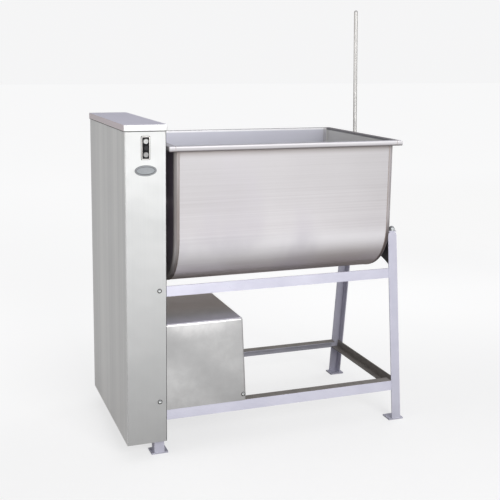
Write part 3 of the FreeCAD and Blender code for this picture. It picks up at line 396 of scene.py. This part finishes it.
def cabinet_shade(g, colour):
    """Painted shade towards the floor and close under the lid, the left side painted as lit flat grey with soft
    upright streaks, and painted shade on the right-hand bend."""
    height = g.axis("Z")
    # Painted shade towards the floor
    low = 1.0 - g.step(height, 0.1, 1.15)
    colour = g.mix(low * 0.32, colour, CABINET_LOW_SHADE)
    # Deeper painted shade on the lower part
    deep = 1.0 - g.step(height, 0.22, 0.66)
    colour = g.mix(deep * 0.26, colour, CABINET_DEEP_SHADE)
    # Painted shade close under the lid
    high = g.step(height, 1.06, 1.26)
    colour = g.mix(high * 0.25, colour, CABINET_LID_SHADE)
    # The left side is painted as lit flat grey, with soft upright streaks
    side = g.step(g.facing("X") * -1.0, 0.5, 0.9)
    streak = g.noise((1.0, 9.0, 0.12), 1.6, 3.0, shift=(0.0, 0.7, 0.3))
    flat = g.mix(g.step(streak, 0.30, 0.70), SIDE_LIT_DULL, SIDE_LIT_BRIGHT)
    colour = g.mix(side * 0.85, colour, flat)
    # Painted shade on the right-hand bend
    bend = g.step(g.facing("X"), 0.20, 0.40) * (1.0 - g.step(g.facing("X"), 0.97, 0.995))
    return g.mix(bend, colour, CABINET_BEND_SHADE)


COVER_GLOW = (0.99, 0.98, 0.97)
COVER_CREASE_SHADE = (0.40, 0.40, 0.40)
COVER_RIGHT_SHADE = (0.42, 0.42, 0.42)
COVER_LOWER_LEFT_LIGHT = (0.92, 0.92, 0.91)
COVER_MOTTLE = (0.44, 0.44, 0.44)
COVER_TOP_REFLECTION = (0.78, 0.77, 0.88)
COVER_TOP_SHADE = (0.56, 0.48, 0.41)


def cover_shade(g, colour):
    """Painted light in a glow under the front fold and on the lower left, painted shade along a crease from the
    upper left to the lower right and over the right part, a random mottle, and a top painted with a lilac
    reflection in front and tan shade behind."""
    upright = 1.0 - g.step(g.facing("Z"), 0.5, 0.9)
    # Painted light: a glow under the front fold
    glow = soft_spot(g, -0.32, 0.52, 0.26, 0.090)
    colour = g.mix(glow * upright * 0.9, colour, COVER_GLOW)
    # Painted shade along a crease from the upper left to the lower right
    off_line = (g.axis("Z") - 0.43) + (g.axis("X") + 0.44) * 0.80
    crease_shade = 1.0 - g.step(off_line * off_line, 0.0, 0.011)
    colour = g.mix(crease_shade * upright * 0.42, colour, COVER_CREASE_SHADE)
    # Painted shade over the right part
    right_shade = g.step(g.axis("X") + g.axis("Z") * 0.25, -0.12, 0.02)
    colour = g.mix(right_shade * upright * 0.30, colour, COVER_RIGHT_SHADE)
    # Painted light on the lower left
    lower_left = soft_spot(g, -0.42, 0.28, 0.16, 0.14)
    colour = g.mix(lower_left * upright * 0.3, colour, COVER_LOWER_LEFT_LIGHT)
    mottle = g.noise((1, 1, 1), 26.0, 4.0, 0.6, shift=(0.3, 1.9, 0.8))
    colour = g.mix(g.step(mottle, 0.35, 0.65) * 0.22, colour, COVER_MOTTLE)
    # The top is painted with a lilac reflection in front and tan shade behind, under the trough
    lilac_reflection = g.step(g.facing("Z"), 0.6, 0.95) * (1.0 - g.step(g.axis("Y"), -0.29, -0.16))
    colour = g.mix(lilac_reflection * 0.8, colour, COVER_TOP_REFLECTION)
    tan_shade = g.step(g.facing("Z"), 0.6, 0.95) * g.step(g.axis("Y"), -0.24, -0.06)
    return g.mix(tan_shade * 0.7, colour, COVER_TOP_SHADE)


CAP_TOP_REFLECTION = (0.84, 0.83, 0.95)
CAP_LIP_SHADE = (0.82, 0.74, 0.76)


def cap_shade(g, colour):
    """The lid's top is painted with a lilac grey reflection and its left lip in a warmer, darker painted shade.
    """
    colour = g.mix(g.step(g.facing("Z"), 0.6, 0.95), colour, CAP_TOP_REFLECTION)
    return g.mix(g.step(g.facing("X") * -1.0, 0.5, 0.9), colour, CAP_LIP_SHADE)


DUST_AND_SHADE_DARK = (0.14, 0.125, 0.105)
DUST_AND_SHADE_PALE = (0.33, 0.30, 0.26)


def rail_shade(g, colour):
    """Upward faces carry a dark dust mottle that is partly painted shade, and the right end rail's inner face
    carries the same mottle as painted shade.
    """
    dust = g.noise((1, 1, 1), 34.0, 5.0)
    dust_and_shade = g.mix(dust, DUST_AND_SHADE_DARK, DUST_AND_SHADE_PALE)
    # The right end rail's inner face, in painted shade
    shaded_inner = g.step(g.facing("X") * -1.0, 0.6, 0.95) * g.step(g.axis("X"), 0.50, 0.55)
    return g.mix(g.step(g.facing("Z") + shaded_inner, 0.6, 0.95) * 0.94, colour, dust_and_shade)


ENAMEL_ROUGHNESS = 0.42
ENAMEL_METAL = 0.25


def painted(base, deep, shade=None):
    """Sprayed enamel: faint orange peel, cloudy film and small scuffs that show a darker coat."""

    def build(g):
        cloud = g.noise((1, 1, 1), 4.0, 4.0)
        peel = g.noise((1, 1, 1), 260.0, 2.0)
        scuff = g.step(g.noise((1, 1, 1), 46.0, 7.0, 0.7), 0.66, 0.74)
        dust = g.noise((1, 1, 1), 21.0, 5.0)
        colour = g.mix(g.step(cloud, 0.3, 0.7), deep, base)
        colour = g.mix(scuff * 0.5, colour, tuple(0.45 * part for part in base))
        if shade:
            colour = shade(g, colour)
        roughness = (dust - 0.5) * 0.25 + scuff * 0.15 + ENAMEL_ROUGHNESS
        return {"Base Color": colour, "Roughness": roughness, "Normal": g.bump(peel, 0.10, 0.0008)}

    return build, {"Metallic": ENAMEL_METAL}


LEG_LOW_SHADE = (0.30, 0.30, 0.36)
LEG_BEHIND_SHADE = (0.26, 0.25, 0.30)


def leg_shade(g, colour):
    """The legs are painted in shade, duller than the rails, most of all behind and near the floor."""
    low = 1.0 - g.step(g.axis("Z"), 0.01, 0.45)
    colour = g.mix(low * 0.14 + 0.10, colour, LEG_LOW_SHADE)
    return g.mix(g.step(g.axis("Y"), 0.05, 0.15) * 0.22, colour, LEG_BEHIND_SHADE)


ROD_RIGHT_SHADE = (0.41, 0.40, 0.39)
ROD_LEFT_SHADE = (0.34, 0.31, 0.29)


def rod_shade(g, colour):
    """The drawn rod keeps a bright stripe along its front left, with painted shade on both sides of that stripe.
    """
    colour = g.mix(g.step(g.facing("X"), -0.70, -0.50) * 0.9, colour, ROD_RIGHT_SHADE)
    left_edge_shade = g.step(g.facing("Y"), -0.48, -0.30) * (1.0 - g.step(g.facing("Y"), 0.45, 0.75))
    return g.mix(left_edge_shade * 0.8, colour, ROD_LEFT_SHADE)


def plain_steel(pale, dark, rough, turned=None, shade=None):
    """Turned, drawn or ground steel: rings round X, streaks along Z, or an even grain."""
    lines = {"X": (900.0, 3.0, 3.0), "Z": (400.0, 400.0, 3.0), None: (240.0, 240.0, 240.0)}[turned]

    def build(g):
        ring = g.noise(lines, detail=3.0)
        cloud = g.noise((1, 1, 1), 12.0, 5.0)
        colour = g.mix(ring * 0.5 + cloud * 0.5, dark, pale)
        if shade:
            colour = shade(g, colour)
        roughness = (ring - 0.5) * 0.2 + (cloud - 0.5) * 0.2 + rough
        return {"Base Color": colour, "Roughness": roughness, "Normal": g.bump(ring, 0.15, 0.0004)}

    return build, {"Metallic": 0.95}


def moulded(base, rough):
    """Moulded plastic: fine pebble, soft shade changes and finger marks."""

    def build(g):
        pebble = g.noise((1, 1, 1), 900.0, 2.0)
        cloud = g.noise((1, 1, 1), 30.0, 4.0)
        deep = tuple(0.72 * part for part in base)
        colour = g.mix(g.step(cloud, 0.3, 0.7), deep, base)
        roughness = (cloud - 0.5) * 0.3 + rough
        return {"Base Color": colour, "Roughness": roughness, "Normal": g.bump(pebble, 0.1, 0.0003)}

    return build, {}


WALL_PALE = (0.62, 0.60, 0.61)
WALL_DARK = (0.51, 0.485, 0.495)
HEAD_PALE = (0.54, 0.50, 0.51)
HEAD_DARK = (0.42, 0.385, 0.39)
RIM_PALE = (0.59, 0.575, 0.59)
RIM_DARK = (0.48, 0.465, 0.48)
SHEET_PALE = (0.70, 0.70, 0.695)
SHEET_DARK = (0.58, 0.59, 0.585)
COVER_PALE = (0.65, 0.65, 0.645)
COVER_DARK = (0.52, 0.515, 0.51)
make("trough_wall_steel", brushed_steel(WALL_PALE, WALL_DARK, "X", 0.44, 0.6, trough_shade, streaks=1.7))
make("trough_head_steel", brushed_steel(HEAD_PALE, HEAD_DARK, "Z", 0.42, 0.6, head_shade))
make("rim_steel", brushed_steel(RIM_PALE, RIM_DARK, "X", 0.55, 0.35, rim_shade))
shell_recipe = brushed_steel(SHEET_PALE, SHEET_DARK, "Z", 0.44, 0.5, cabinet_shade, 0.35, 0.16, 0.25)
make("cabinet_sheet", shell_recipe)
make("cap_sheet", brushed_steel(SHEET_PALE, SHEET_DARK, "Y", 0.42, 0.5, cap_shade, grain=0.35, dents=0.08))
make("cover_sheet", brushed_steel(COVER_PALE, COVER_DARK, None, 0.36, 0.6, cover_shade, dents=0.22))
ENAMEL_PALE = (0.70, 0.695, 0.80)
ENAMEL_DEEP = (0.60, 0.595, 0.70)
make("silver_enamel", painted(ENAMEL_PALE, ENAMEL_DEEP))
make("leg_enamel", painted(ENAMEL_PALE, ENAMEL_DEEP, shade=leg_shade))
make("rail_enamel", painted(ENAMEL_PALE, ENAMEL_DEEP, shade=rail_shade))
make("shaded_enamel", painted((0.46, 0.46, 0.52), (0.36, 0.36, 0.41), shade=rail_shade))
make("dark_enamel", painted((0.13, 0.12, 0.13), (0.09, 0.085, 0.09)))
make("motor_enamel", painted((0.10, 0.17, 0.21), (0.07, 0.13, 0.16)))
make("ground_steel", plain_steel((0.84, 0.83, 0.81), (0.76, 0.75, 0.73), 0.5, "Z", rod_shade))
make("turned_steel", plain_steel((0.60, 0.59, 0.58), (0.38, 0.37, 0.37), 0.28, "X"))
make("weld_steel", plain_steel((0.50, 0.44, 0.40), (0.26, 0.21, 0.19), 0.4))
make("seal_rubber", moulded((0.05, 0.052, 0.045), 0.6))
make("zinc_plate", plain_steel((0.66, 0.67, 0.66), (0.40, 0.41, 0.42), 0.25))
make("dull_zinc", plain_steel((0.56, 0.58, 0.58), (0.40, 0.42, 0.43), 0.55))
make("gear_iron", plain_steel((0.26, 0.26, 0.27), (0.12, 0.12, 0.13), 0.45))
make("bronze", plain_steel((0.52, 0.36, 0.16), (0.33, 0.21, 0.09), 0.35, "X"))
make("belt_rubber", moulded((0.035, 0.034, 0.033), 0.75))
make("gland_plastic", moulded((0.72, 0.71, 0.67), 0.5))
make("station_black", moulded((0.009, 0.009, 0.010), 0.5), Specular_IOR_Level=0.2)
make("station_plate", plain_steel((0.74, 0.72, 0.70), (0.55, 0.53, 0.52), 0.35))
make("badge_alloy", plain_steel((0.30, 0.31, 0.32), (0.14, 0.15, 0.16), 0.38))
make("button_white", moulded((0.88, 0.88, 0.86), 0.3))
make("button_dark", moulded((0.02, 0.02, 0.022), 0.45), Specular_IOR_Level=0.25)
make("button_pale", moulded((0.56, 0.55, 0.54), 0.3))

finish_of = {
    "trough_wall_steel": ["trough_wrap"],
    "trough_head_steel": ["trough_left_head", "trough_right_head"],
    "rim_steel": ["trough_rim"],
    "cabinet_sheet": ["cabinet_shell", "cabinet_inner_panel"],
    "cap_sheet": ["cabinet_cap"],
    "cover_sheet": ["motor_cover"],
    "silver_enamel": [
        "front_middle_rail", "back_middle_rail", "cabinet_brackets", "motor_tray", "motor_cross_bars",
        "leg_top_pads",
    ],
    "leg_enamel": ["leg_front_left", "leg_back_left", "leg_front_right", "leg_back_right", "foot_plates"],
    "rail_enamel": ["front_bottom_rail", "right_end_rail", "left_end_rail"],
    "shaded_enamel": ["back_bottom_rail"],
    "dark_enamel": ["right_bearing_plate", "left_bearing_plate"],
    "motor_enamel": [
        "motor_body", "motor_end_bells", "motor_fan_cowl", "motor_terminal_box", "motor_terminal_lid",
    ],
    "ground_steel": ["lever_rod"],
    "turned_steel": [
        "lever_brackets", "lever_collar", "left_trunnion", "right_trunnion", "mixing_shaft",
        "mixing_arms", "mixing_blades", "countershaft", "motor_shaft",
    ],
    "zinc_plate": ["bearing_bolts", "panel_screws"],
    "dull_zinc": ["leg_top_nuts"],
    "gear_iron": [
        "left_trunnion_bearing", "right_trunnion_bearing", "countershaft_bearing",
        "main_gear", "pinion", "big_pulley", "motor_pulley",
    ],
    "bronze": ["trunnion_bushes"],
    "belt_rubber": ["v_belts"],
    "gland_plastic": ["shaft_glands"],
    "station_black": ["switch_body", "motor_fan"],
    "station_plate": ["switch_plate"],
    "badge_alloy": ["badge_plate"],
    "button_white": ["forward_button"],
    "button_dark": ["reverse_button"],
    "button_pale": ["stop_button"],
}
for finish_name, names in finish_of.items():
    for node_name in names:
        for holder in nodes[node_name].material_slots:
            holder.material = materials[finish_name]


# New pieces, each laid over grids of points
WIRE_SIDES = 8
WAVE_POINTS = 4.0
WAVE_HEIGHT = 0.14
CORNER_STEPS = 8
SECTION_POINTS = 64


def lay(name, grids, finish_name, body):
    """One mesh over grids of points: each row is a closed ring, and neighbouring rings are joined by quads.
    A grid's first and last rings shrink to a point or lie on each other, so every grid is a closed skin."""
    points = []
    quads = []
    first = 0
    for grid in grids:
        rows, columns = grid.shape[:2]
        row = np.arange(rows - 1)[:, None]
        column = np.arange(columns)[None, :]
        after = (column + 1) % columns
        here = first + row * columns
        corners = [here + column, here + after, here + columns + after, here + columns + column]
        quads.append(np.stack(np.broadcast_arrays(*corners), -1).reshape(-1, 4))
        points.append(grid.reshape(-1, 3))
        first += rows * columns
    mesh = bpy.data.meshes.new(name)
    mesh.from_pydata(np.concatenate(points).tolist(), [], np.concatenate(quads).tolist())
    shape = bmesh.new()
    shape.from_mesh(mesh)
    bmesh.ops.remove_doubles(shape, verts=shape.verts, dist=1e-6)
    bmesh.ops.dissolve_degenerate(shape, edges=shape.edges, dist=1e-6)
    bmesh.ops.recalc_face_normals(shape, faces=shape.faces)
    shape.to_mesh(mesh)
    shape.free()
    mesh.shade_smooth()
    mesh.materials.append(materials[finish_name])
    piece = bpy.data.objects.new(name, mesh)
    bpy.context.scene.collection.objects.link(piece)
    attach(piece, body)


def along(path, across, radius, looped=False):
    """Rings round a path: at each point p the ring is p + r (cos a * side + sin a * across), where side is
    square to the path and to across. An open path's end rings have no radius, and a looped path's last
    ring lies on its first."""
    path = np.asarray(path, float)
    radius = np.broadcast_to(np.asarray(radius, float), len(path)).copy()
    if looped:
        path = np.concatenate([path, path[:1]])
        radius = np.concatenate([radius, radius[:1]])
        tangent = np.roll(path[:-1], -1, 0) - np.roll(path[:-1], 1, 0)
        tangent = np.concatenate([tangent, tangent[:1]])
    else:
        tangent = np.gradient(path, axis=0)
    across = np.broadcast_to(np.asarray(across, float), path.shape)
    side = np.cross(tangent, across)
    side = side / np.linalg.norm(side, axis=1, keepdims=True)
    if not looped:
        path = np.concatenate([path[:1], path, path[-1:]])
        side = np.concatenate([side[:1], side, side[-1:]])
        across = np.concatenate([across[:1], across, across[-1:]])
        radius = np.concatenate([[0.0], radius, [0.0]])
    turn = np.linspace(0.0, 2.0 * math.pi, WIRE_SIDES, endpoint=False)
    ring = np.cos(turn)[None, :, None] * side[:, None] + np.sin(turn)[None, :, None] * across[:, None]
    return path[:, None] + radius[:, None, None] * ring


def ripple(count, radius):
    """A weld bead's radius at its k-th point: radius (1 + h sin(2 pi k / p)), a wave of h every p points."""
    return radius * (1.0 + WAVE_HEIGHT * np.sin(2.0 * math.pi * np.arange(count) / WAVE_POINTS))


def straight(start, end):
    """Points from start to end, about BEAD_STEP apart."""
    start = np.asarray(start, float)
    end = np.asarray(end, float)
    count = max(8, int(np.linalg.norm(end - start) / BEAD_STEP))
    return start + (end - start) * np.linspace(0.0, 1.0, count)[:, None]


def rounded_loop(centre, half, corner, plane, count=48):
    """A rectangle with round corners, as four quarter circles whose ends are joined by count points: the
    point at angle a of a corner is its centre + corner (cos a, sin a). The loop lies in the plane of two axes."""
    quarter = np.linspace(0.0, math.pi / 2.0, CORNER_STEPS + 1)
    parts = []
    for k, (sign_u, sign_v) in enumerate(((1, 1), (-1, 1), (-1, -1), (1, -1))):
        a = quarter + k * math.pi / 2.0
        u = sign_u * (half[0] - corner) + corner * np.cos(a)
        v = sign_v * (half[1] - corner) + corner * np.sin(a)
        parts.append(np.stack([u, v], -1))
    turns = np.concatenate(parts)
    ahead = np.roll(turns, -1, 0)
    share = np.linspace(0.0, 1.0, count, endpoint=False)[None, :, None]
    long = np.linalg.norm(ahead - turns, axis=1) > corner * math.pi / (2.0 * CORNER_STEPS)
    dense = turns[:, None] + (ahead - turns)[:, None] * share
    keep = np.broadcast_to(long[:, None] | (np.arange(count) == 0)[None, :], dense.shape[:2])
    flat = dense[keep]
    loop = np.tile(np.asarray(centre, float), (len(flat), 1))
    loop[:, "XYZ".index(plane[0])] += flat[:, 0]
    loop[:, "XYZ".index(plane[1])] += flat[:, 1]
    return loop


def trough_section(x, top):
    """The trough's outline at x from the front top down round the floor to the back top: two straight walls,
    two corner arcs of CORNER_RADIUS and a floor arc of FLOOR_RADIUS that meets both without a kink."""
    count = SECTION_POINTS
    side = TROUGH_HALF - CORNER_RADIUS
    reach = FLOOR_RADIUS - CORNER_RADIUS
    floor_centre = CORNER_Z + math.sqrt(reach ** 2 - side ** 2)
    turn = math.asin(side / reach)
    wall_z = np.linspace(top, CORNER_Z, count, endpoint=False)
    wall = np.stack([np.full(count, -TROUGH_HALF), wall_z], -1)
    a = np.linspace(math.pi, 1.5 * math.pi - turn, count, endpoint=False)
    bend = np.stack([-side + CORNER_RADIUS * np.cos(a), CORNER_Z + CORNER_RADIUS * np.sin(a)], -1)
    b = np.linspace(-turn, turn, 2 * count + 1)
    floor_line = np.stack([FLOOR_RADIUS * np.sin(b), floor_centre - FLOOR_RADIUS * np.cos(b)], -1)
    half = np.concatenate([wall, bend, floor_line[:count]])
    other = np.flip(half, 0) * np.array([-1.0, 1.0])
    outline = np.concatenate([half, floor_line[count:count + 1], other])
    return np.concatenate([np.full((len(outline), 1), x), outline], -1)


def trough_welds():
    """Beads where the bent sheet meets the two heads."""
    grids = []
    for x in (TROUGH_LEFT + HEAD_BAND, TROUGH_RIGHT - HEAD_BAND):
        line = trough_section(x, TROUGH_TOP - RIM_HEIGHT - 0.001)
        grids.append(along(line, (1.0, 0.0, 0.0), ripple(len(line), WELD_RADIUS)))
    lay("trough_welds", grids, "weld_steel", "trough")


def rim_welds():
    """One bead round the trough under the rim, and a ground seam where each long rim tube butts against an
    end tube: over the top, round the edge as a quarter circle (r cos a, r sin a), and down the outside."""
    centre = ((TROUGH_LEFT + TROUGH_RIGHT) / 2.0, 0.0, TROUGH_TOP - RIM_HEIGHT)
    half = ((TROUGH_RIGHT - TROUGH_LEFT) / 2.0, TROUGH_HALF)
    loop = rounded_loop(centre, half, HEAD_ROUND, "XY", 200)
    grids = [along(loop, (0.0, 0.0, 1.0), ripple(len(loop), RIM_WELD_RADIUS), looped=True)]
    edge = TROUGH_HALF + RIM_WIDTH - RIM_ROUND
    low_z = TROUGH_TOP - RIM_HEIGHT + RIM_ROUND
    a = np.linspace(math.pi / 2.0, 0.0, 7)
    bend_z = TROUGH_TOP - RIM_ROUND + RIM_ROUND * np.sin(a)
    for x in (TROUGH_LEFT, TROUGH_RIGHT):
        for sign_y in SIDES:
            bend = np.stack([np.full(len(a), x), sign_y * (edge + RIM_ROUND * np.cos(a)), bend_z], -1)
            top = straight((x, sign_y * TROUGH_HALF, TROUGH_TOP), (x, sign_y * edge, TROUGH_TOP))
            face_y = sign_y * (edge + RIM_ROUND)
            face = straight((x, face_y, TROUGH_TOP - RIM_ROUND), (x, face_y, low_z))
            seam = np.concatenate([top[:-1], bend, face[1:]])
            grids.append(along(seam, (1.0, 0.0, 0.0), ripple(len(seam), SEAM_RADIUS)))
    lay("rim_welds", grids, "weld_steel", "trough")


def leg_y(height):
    """Half the spread of the legs at a height."""
    return FOOT_SPREAD - LEAN * height


def frame_welds():
    """Upright beads where the long rails butt against the legs, and beads round the foot of each leg."""
    grids = []
    for x, outer in ((LEFT_LEG_INNER, LEFT_LEG_OUTER), (RIGHT_LEG_INNER, RIGHT_LEG_OUTER)):
        for sign_y in SIDES:
            for low in RAIL_HEIGHTS:
                high = low + ANGLE_SIZE
                line = straight((x, sign_y * leg_y(low), low), (x, sign_y * leg_y(high), high))
                grids.append(along(line, (1.0, 0.0, 0.0), ripple(len(line), WELD_RADIUS)))
            foot_y = sign_y * leg_y(FOOT_THICKNESS)
            line = straight((x, foot_y, FOOT_THICKNESS), (outer, foot_y, FOOT_THICKNESS))
            grids.append(along(line, (0.0, 0.0, 1.0), ripple(len(line), WELD_RADIUS)))
            end_y = foot_y - sign_y * ANGLE_SIZE
            line = straight((outer, foot_y, FOOT_THICKNESS), (outer, end_y, FOOT_THICKNESS))
            grids.append(along(line, (0.0, 0.0, 1.0), ripple(len(line), WELD_RADIUS)))
    lay("frame_welds", grids, "leg_enamel", "base")


def cap_shadow_seal():
    """A dark rubber strip that peeps out under the lid's lip, as a painted shadow line under it."""
    centre = ((CABINET_LEFT + CABINET_RIGHT) / 2.0, 0.0, CABINET_TOP - SHADOW_SEAL_DROP)
    half = ((CABINET_RIGHT - CABINET_LEFT) / 2.0 + SHADOW_SEAL_PROUD, CABINET_HALF_DEPTH + SHADOW_SEAL_PROUD)
    loop = rounded_loop(centre, half, CABINET_BEND + SHADOW_SEAL_PROUD, "XY")
    shadow_seal = along(loop, (0.0, 0.0, 1.0), SHADOW_SEAL_RADIUS, looped=True)
    lay("cap_shadow_seal", [shadow_seal], "seal_rubber", "base")


def upright_ring(x, y, z, wide, high, wire, count):
    """A wire round the ellipse (wide cos t, high sin t) in the upright plane at depth y."""
    t = np.linspace(0.0, 2.0 * math.pi, count, endpoint=False)
    ring = np.stack([x + wide * np.cos(t), np.full(count, y), z + high * np.sin(t)], -1)
    return along(ring, (0.0, 1.0, 0.0), wire, looped=True)


def switch_trim():
    """A thin gasket round the switch plate, a black lip round its window and a ring round each button."""
    gasket_place = (SWITCH_X, -CABINET_HALF_DEPTH - GASKET_PROUD, SWITCH_Z)
    gasket = rounded_loop(gasket_place, GASKET_HALF, GASKET_CORNER, "XZ")
    gasket_grid = along(gasket, (0.0, 1.0, 0.0), TRIM_RADIUS, looped=True)
    lay("switch_gasket", [gasket_grid], "seal_rubber", "base")
    lip_place = (SWITCH_X, -CABINET_HALF_DEPTH - PLATE_THICKNESS, SWITCH_Z)
    lip = rounded_loop(lip_place, LIP_HALF, LIP_CORNER, "XZ")
    lip_grid = along(lip, (0.0, 1.0, 0.0), TRIM_RADIUS, looped=True)
    lay("switch_lip", [lip_grid], "station_black", "base")
    bezel_y = -CABINET_HALF_DEPTH - BEZEL_PROUD
    rings = []
    for z in (SWITCH_Z + BUTTON_STEP, SWITCH_Z, SWITCH_Z - BUTTON_STEP):
        rings.append(upright_ring(SWITCH_X, bezel_y, z, BEZEL_RADIUS, BEZEL_RADIUS, BEZEL_WIRE, 40))
    lay("button_bezels", rings, "station_black", "base")


def badge_border():
    """Two dark enamel lines round the bare name plate."""
    rings = []
    for wide, high, proud, wire in BADGE_LINES:
        rings.append(upright_ring(SWITCH_X, -CABINET_HALF_DEPTH - proud, BADGE_Z, wide, high, wire, 96))
    lay("badge_border", rings, "seal_rubber", "base")


def screw_washers():
    """A dark rubber washer under each panel screw."""
    side_y = CABINET_HALF_DEPTH + WASHER_PROUD
    places = [(SCREW_X, sign_y * side_y, z) for sign_y in SIDES for z in SCREW_HEIGHTS]
    places.append((COVER_SCREW_X, COVER_FRONT - WASHER_PROUD, COVER_SCREW_Z))
    rings = [upright_ring(*place, WASHER_RADIUS, WASHER_RADIUS, WASHER_WIRE, 32) for place in places]
    lay("screw_washers", rings, "seal_rubber", "base")


trough_welds()
rim_welds()
frame_welds()
cap_shadow_seal()
switch_trim()
badge_border()
screw_washers()


# Floor, light and camera
def backdrop_material():
    """A pale floor that keeps the object's shadow, is evenly white to the camera and shows in the steel as a
    floor with painted shade near the machine."""
    made = bpy.data.materials.new("studio_floor")
    made.use_nodes = True
    tree = made.node_tree
    tree.nodes.clear()
    g = Graph(tree)
    speckle = g.noise((1, 1, 1), 2.0, 3.0)
    seen = g.mix(speckle, (0.36, 0.36, 0.362), (0.38, 0.38, 0.38))
    at_lamp = 1.0 - g.step(g.distance("XY", (4.3, 3.6), (2.8, 2.8)), 0.35, 1.0)
    lit = g.node("ShaderNodeBsdfDiffuse", inputs={"Color": g.mix(at_lamp, seen, (0.0, 0.0, 0.0))})
    camera_ray = g.node("ShaderNodeLightPath", out="Is Camera Ray")
    far = g.step(g.axis("Y"), 2.5, 7.0)
    near = g.step(g.axis("Y") * -1.0, -1.6, 0.4) * (1.0 - g.step(g.axis("Y") * -1.0, 1.2, 4.0))
    under_lamp = 1.0 - g.step(g.distance("XY", (3.4, 2.6), (2.6, 2.6)), 0.1, 1.0)
    open_floor = far * 0.045 - near * 0.10 - under_lamp * 0.12 + 0.745
    white = open_floor * (1.0 - at_lamp) + at_lamp * 0.935
    strength = camera_ray * white
    glow = g.node("ShaderNodeEmission", inputs={"Color": (1.0, 1.0, 1.0, 1.0), "Strength": strength})
    pale = g.node("ShaderNodeAddShader", inputs={0: lit, 1: glow})
    # Seen only in the steel: painted shade on the floor round the machine, brighter ahead of it, greyer beside it
    # on the left
    reach = g.distance("XY", (0.30, 0.0), (1.3, 0.85))
    ahead = g.step(g.axis("Y") * -1.0, -0.6, 1.6)
    bright = g.mix(ahead, (0.34, 0.33, 0.33), (0.92, 0.92, 0.93))
    beside = g.step(g.axis("X") * -1.0, 0.66, 0.95)
    tone = g.mix(g.step(reach, 0.35, 1.15), (0.19, 0.17, 0.16), bright)
    tone = g.mix(beside, tone, (0.40, 0.395, 0.395))
    dark = g.node("ShaderNodeEmission", inputs={"Color": tone, "Strength": 1.0})
    glossy = g.node("ShaderNodeLightPath", out="Is Glossy Ray")
    both = g.node("ShaderNodeMixShader", inputs={0: glossy, 1: pale, 2: dark})
    output = tree.nodes.new("ShaderNodeOutputMaterial")
    tree.links.new(both.socket, output.inputs["Surface"])
    return made


bpy.ops.mesh.primitive_plane_add(size=80.0, location=(0, 0, 0))
floor = bpy.context.object
floor.name = "studio_floor"
floor.data.materials.append(backdrop_material())

world = bpy.data.worlds.new("studio")
bpy.context.scene.world = world
world.use_nodes = True
world.node_tree.nodes.clear()
w = Graph(world.node_tree)
direction = w.node("ShaderNodeTexCoord", out="Generated")
up = w.node("ShaderNodeSeparateXYZ", inputs={0: direction}, out="Z")
across = w.node("ShaderNodeSeparateXYZ", inputs={0: direction}, out="X")
front = w.node("ShaderNodeSeparateXYZ", inputs={0: direction}, out="Y") * -1.0
STUDIO_TONES = [
    (0.0, (0.38, 0.375, 0.385)),
    (0.45, (0.36, 0.35, 0.355)),
    (0.62, (0.85, 0.85, 0.86)),
    (1.0, (1.0, 1.0, 1.0)),
]
around = w.ramp(front * 0.5 + 0.5, STUDIO_TONES)
around = w.mix(w.step(up, 0.35, 0.8), around, (0.62, 0.61, 0.66))
around = w.mix(w.step(across * -1.0, 0.5, 0.9), around, (0.70, 0.70, 0.70))
camera_ray = w.node("ShaderNodeLightPath", out="Is Camera Ray")
glossy_ray = w.node("ShaderNodeLightPath", out="Is Glossy Ray")
even = w.mix(glossy_ray, (0.40, 0.40, 0.41), around)
shown = w.mix(camera_ray, even, (0.915, 0.915, 0.92))
background = w.node("ShaderNodeBackground", inputs={"Color": shown, "Strength": 1.0})
world_output = world.node_tree.nodes.new("ShaderNodeOutputWorld")
world.node_tree.links.new(background.socket, world_output.inputs["Surface"])


LAMP_SIZE = 3.0


def area_lamp(name, place, target, power):
    """A square soft box at place, turned to target."""
    data = bpy.data.lights.new(name, "AREA")
    data.energy = power
    data.size = LAMP_SIZE
    lamp = bpy.data.objects.new(name, data)
    bpy.context.scene.collection.objects.link(lamp)
    aim = Vector(target) - Vector(place)
    turned = aim.to_track_quat("-Z", "Y").to_matrix().to_4x4()
    lamp.matrix_world = Matrix.Translation(Vector(place)) @ turned


area_lamp("front_soft_box", (0.6, -5.6, 2.6), (0.0, 0.0, 0.8), 195.0)
area_lamp("rear_soft_box", (4.8, 2.7, 1.7), (0.2, 0.0, 0.8), 60.0)
area_lamp("left_soft_box", (-5.2, -0.4, 1.6), (-0.6, 0.0, 0.8), 60.0)

YAW = 0.33749
PITCH = 0.17157
ROLL = 0.00895
CAMERA_PLACE = Vector((-1.29081, -3.38311, 1.53464))
FOCAL_PIXELS = 870.52
IMAGE_PIXELS = 500.0
SENSOR_WIDTH = 36.0
ahead = Vector((math.sin(YAW) * math.cos(PITCH), math.cos(YAW) * math.cos(PITCH), -math.sin(PITCH)))
level = Vector((math.cos(YAW), -math.sin(YAW), 0.0))
upward = level.cross(ahead)
right = math.cos(ROLL) * level + math.sin(ROLL) * upward
above = math.cos(ROLL) * upward - math.sin(ROLL) * level
camera_data = bpy.data.cameras.new("camera")
camera_data.sensor_width = SENSOR_WIDTH
camera_data.lens = FOCAL_PIXELS * SENSOR_WIDTH / IMAGE_PIXELS
camera_data.shift_x = 0.05
camera_data.shift_y = -0.09
camera_data.clip_end = 200.0
camera = bpy.data.objects.new("camera", camera_data)
bpy.context.scene.collection.objects.link(camera)
turn = Matrix((right, above, -ahead)).transposed()
camera.matrix_world = Matrix.Translation(CAMERA_PLACE) @ turn.to_4x4()
bpy.context.scene.camera = camera
bpy.context.scene.view_settings.view_transform = "Standard"
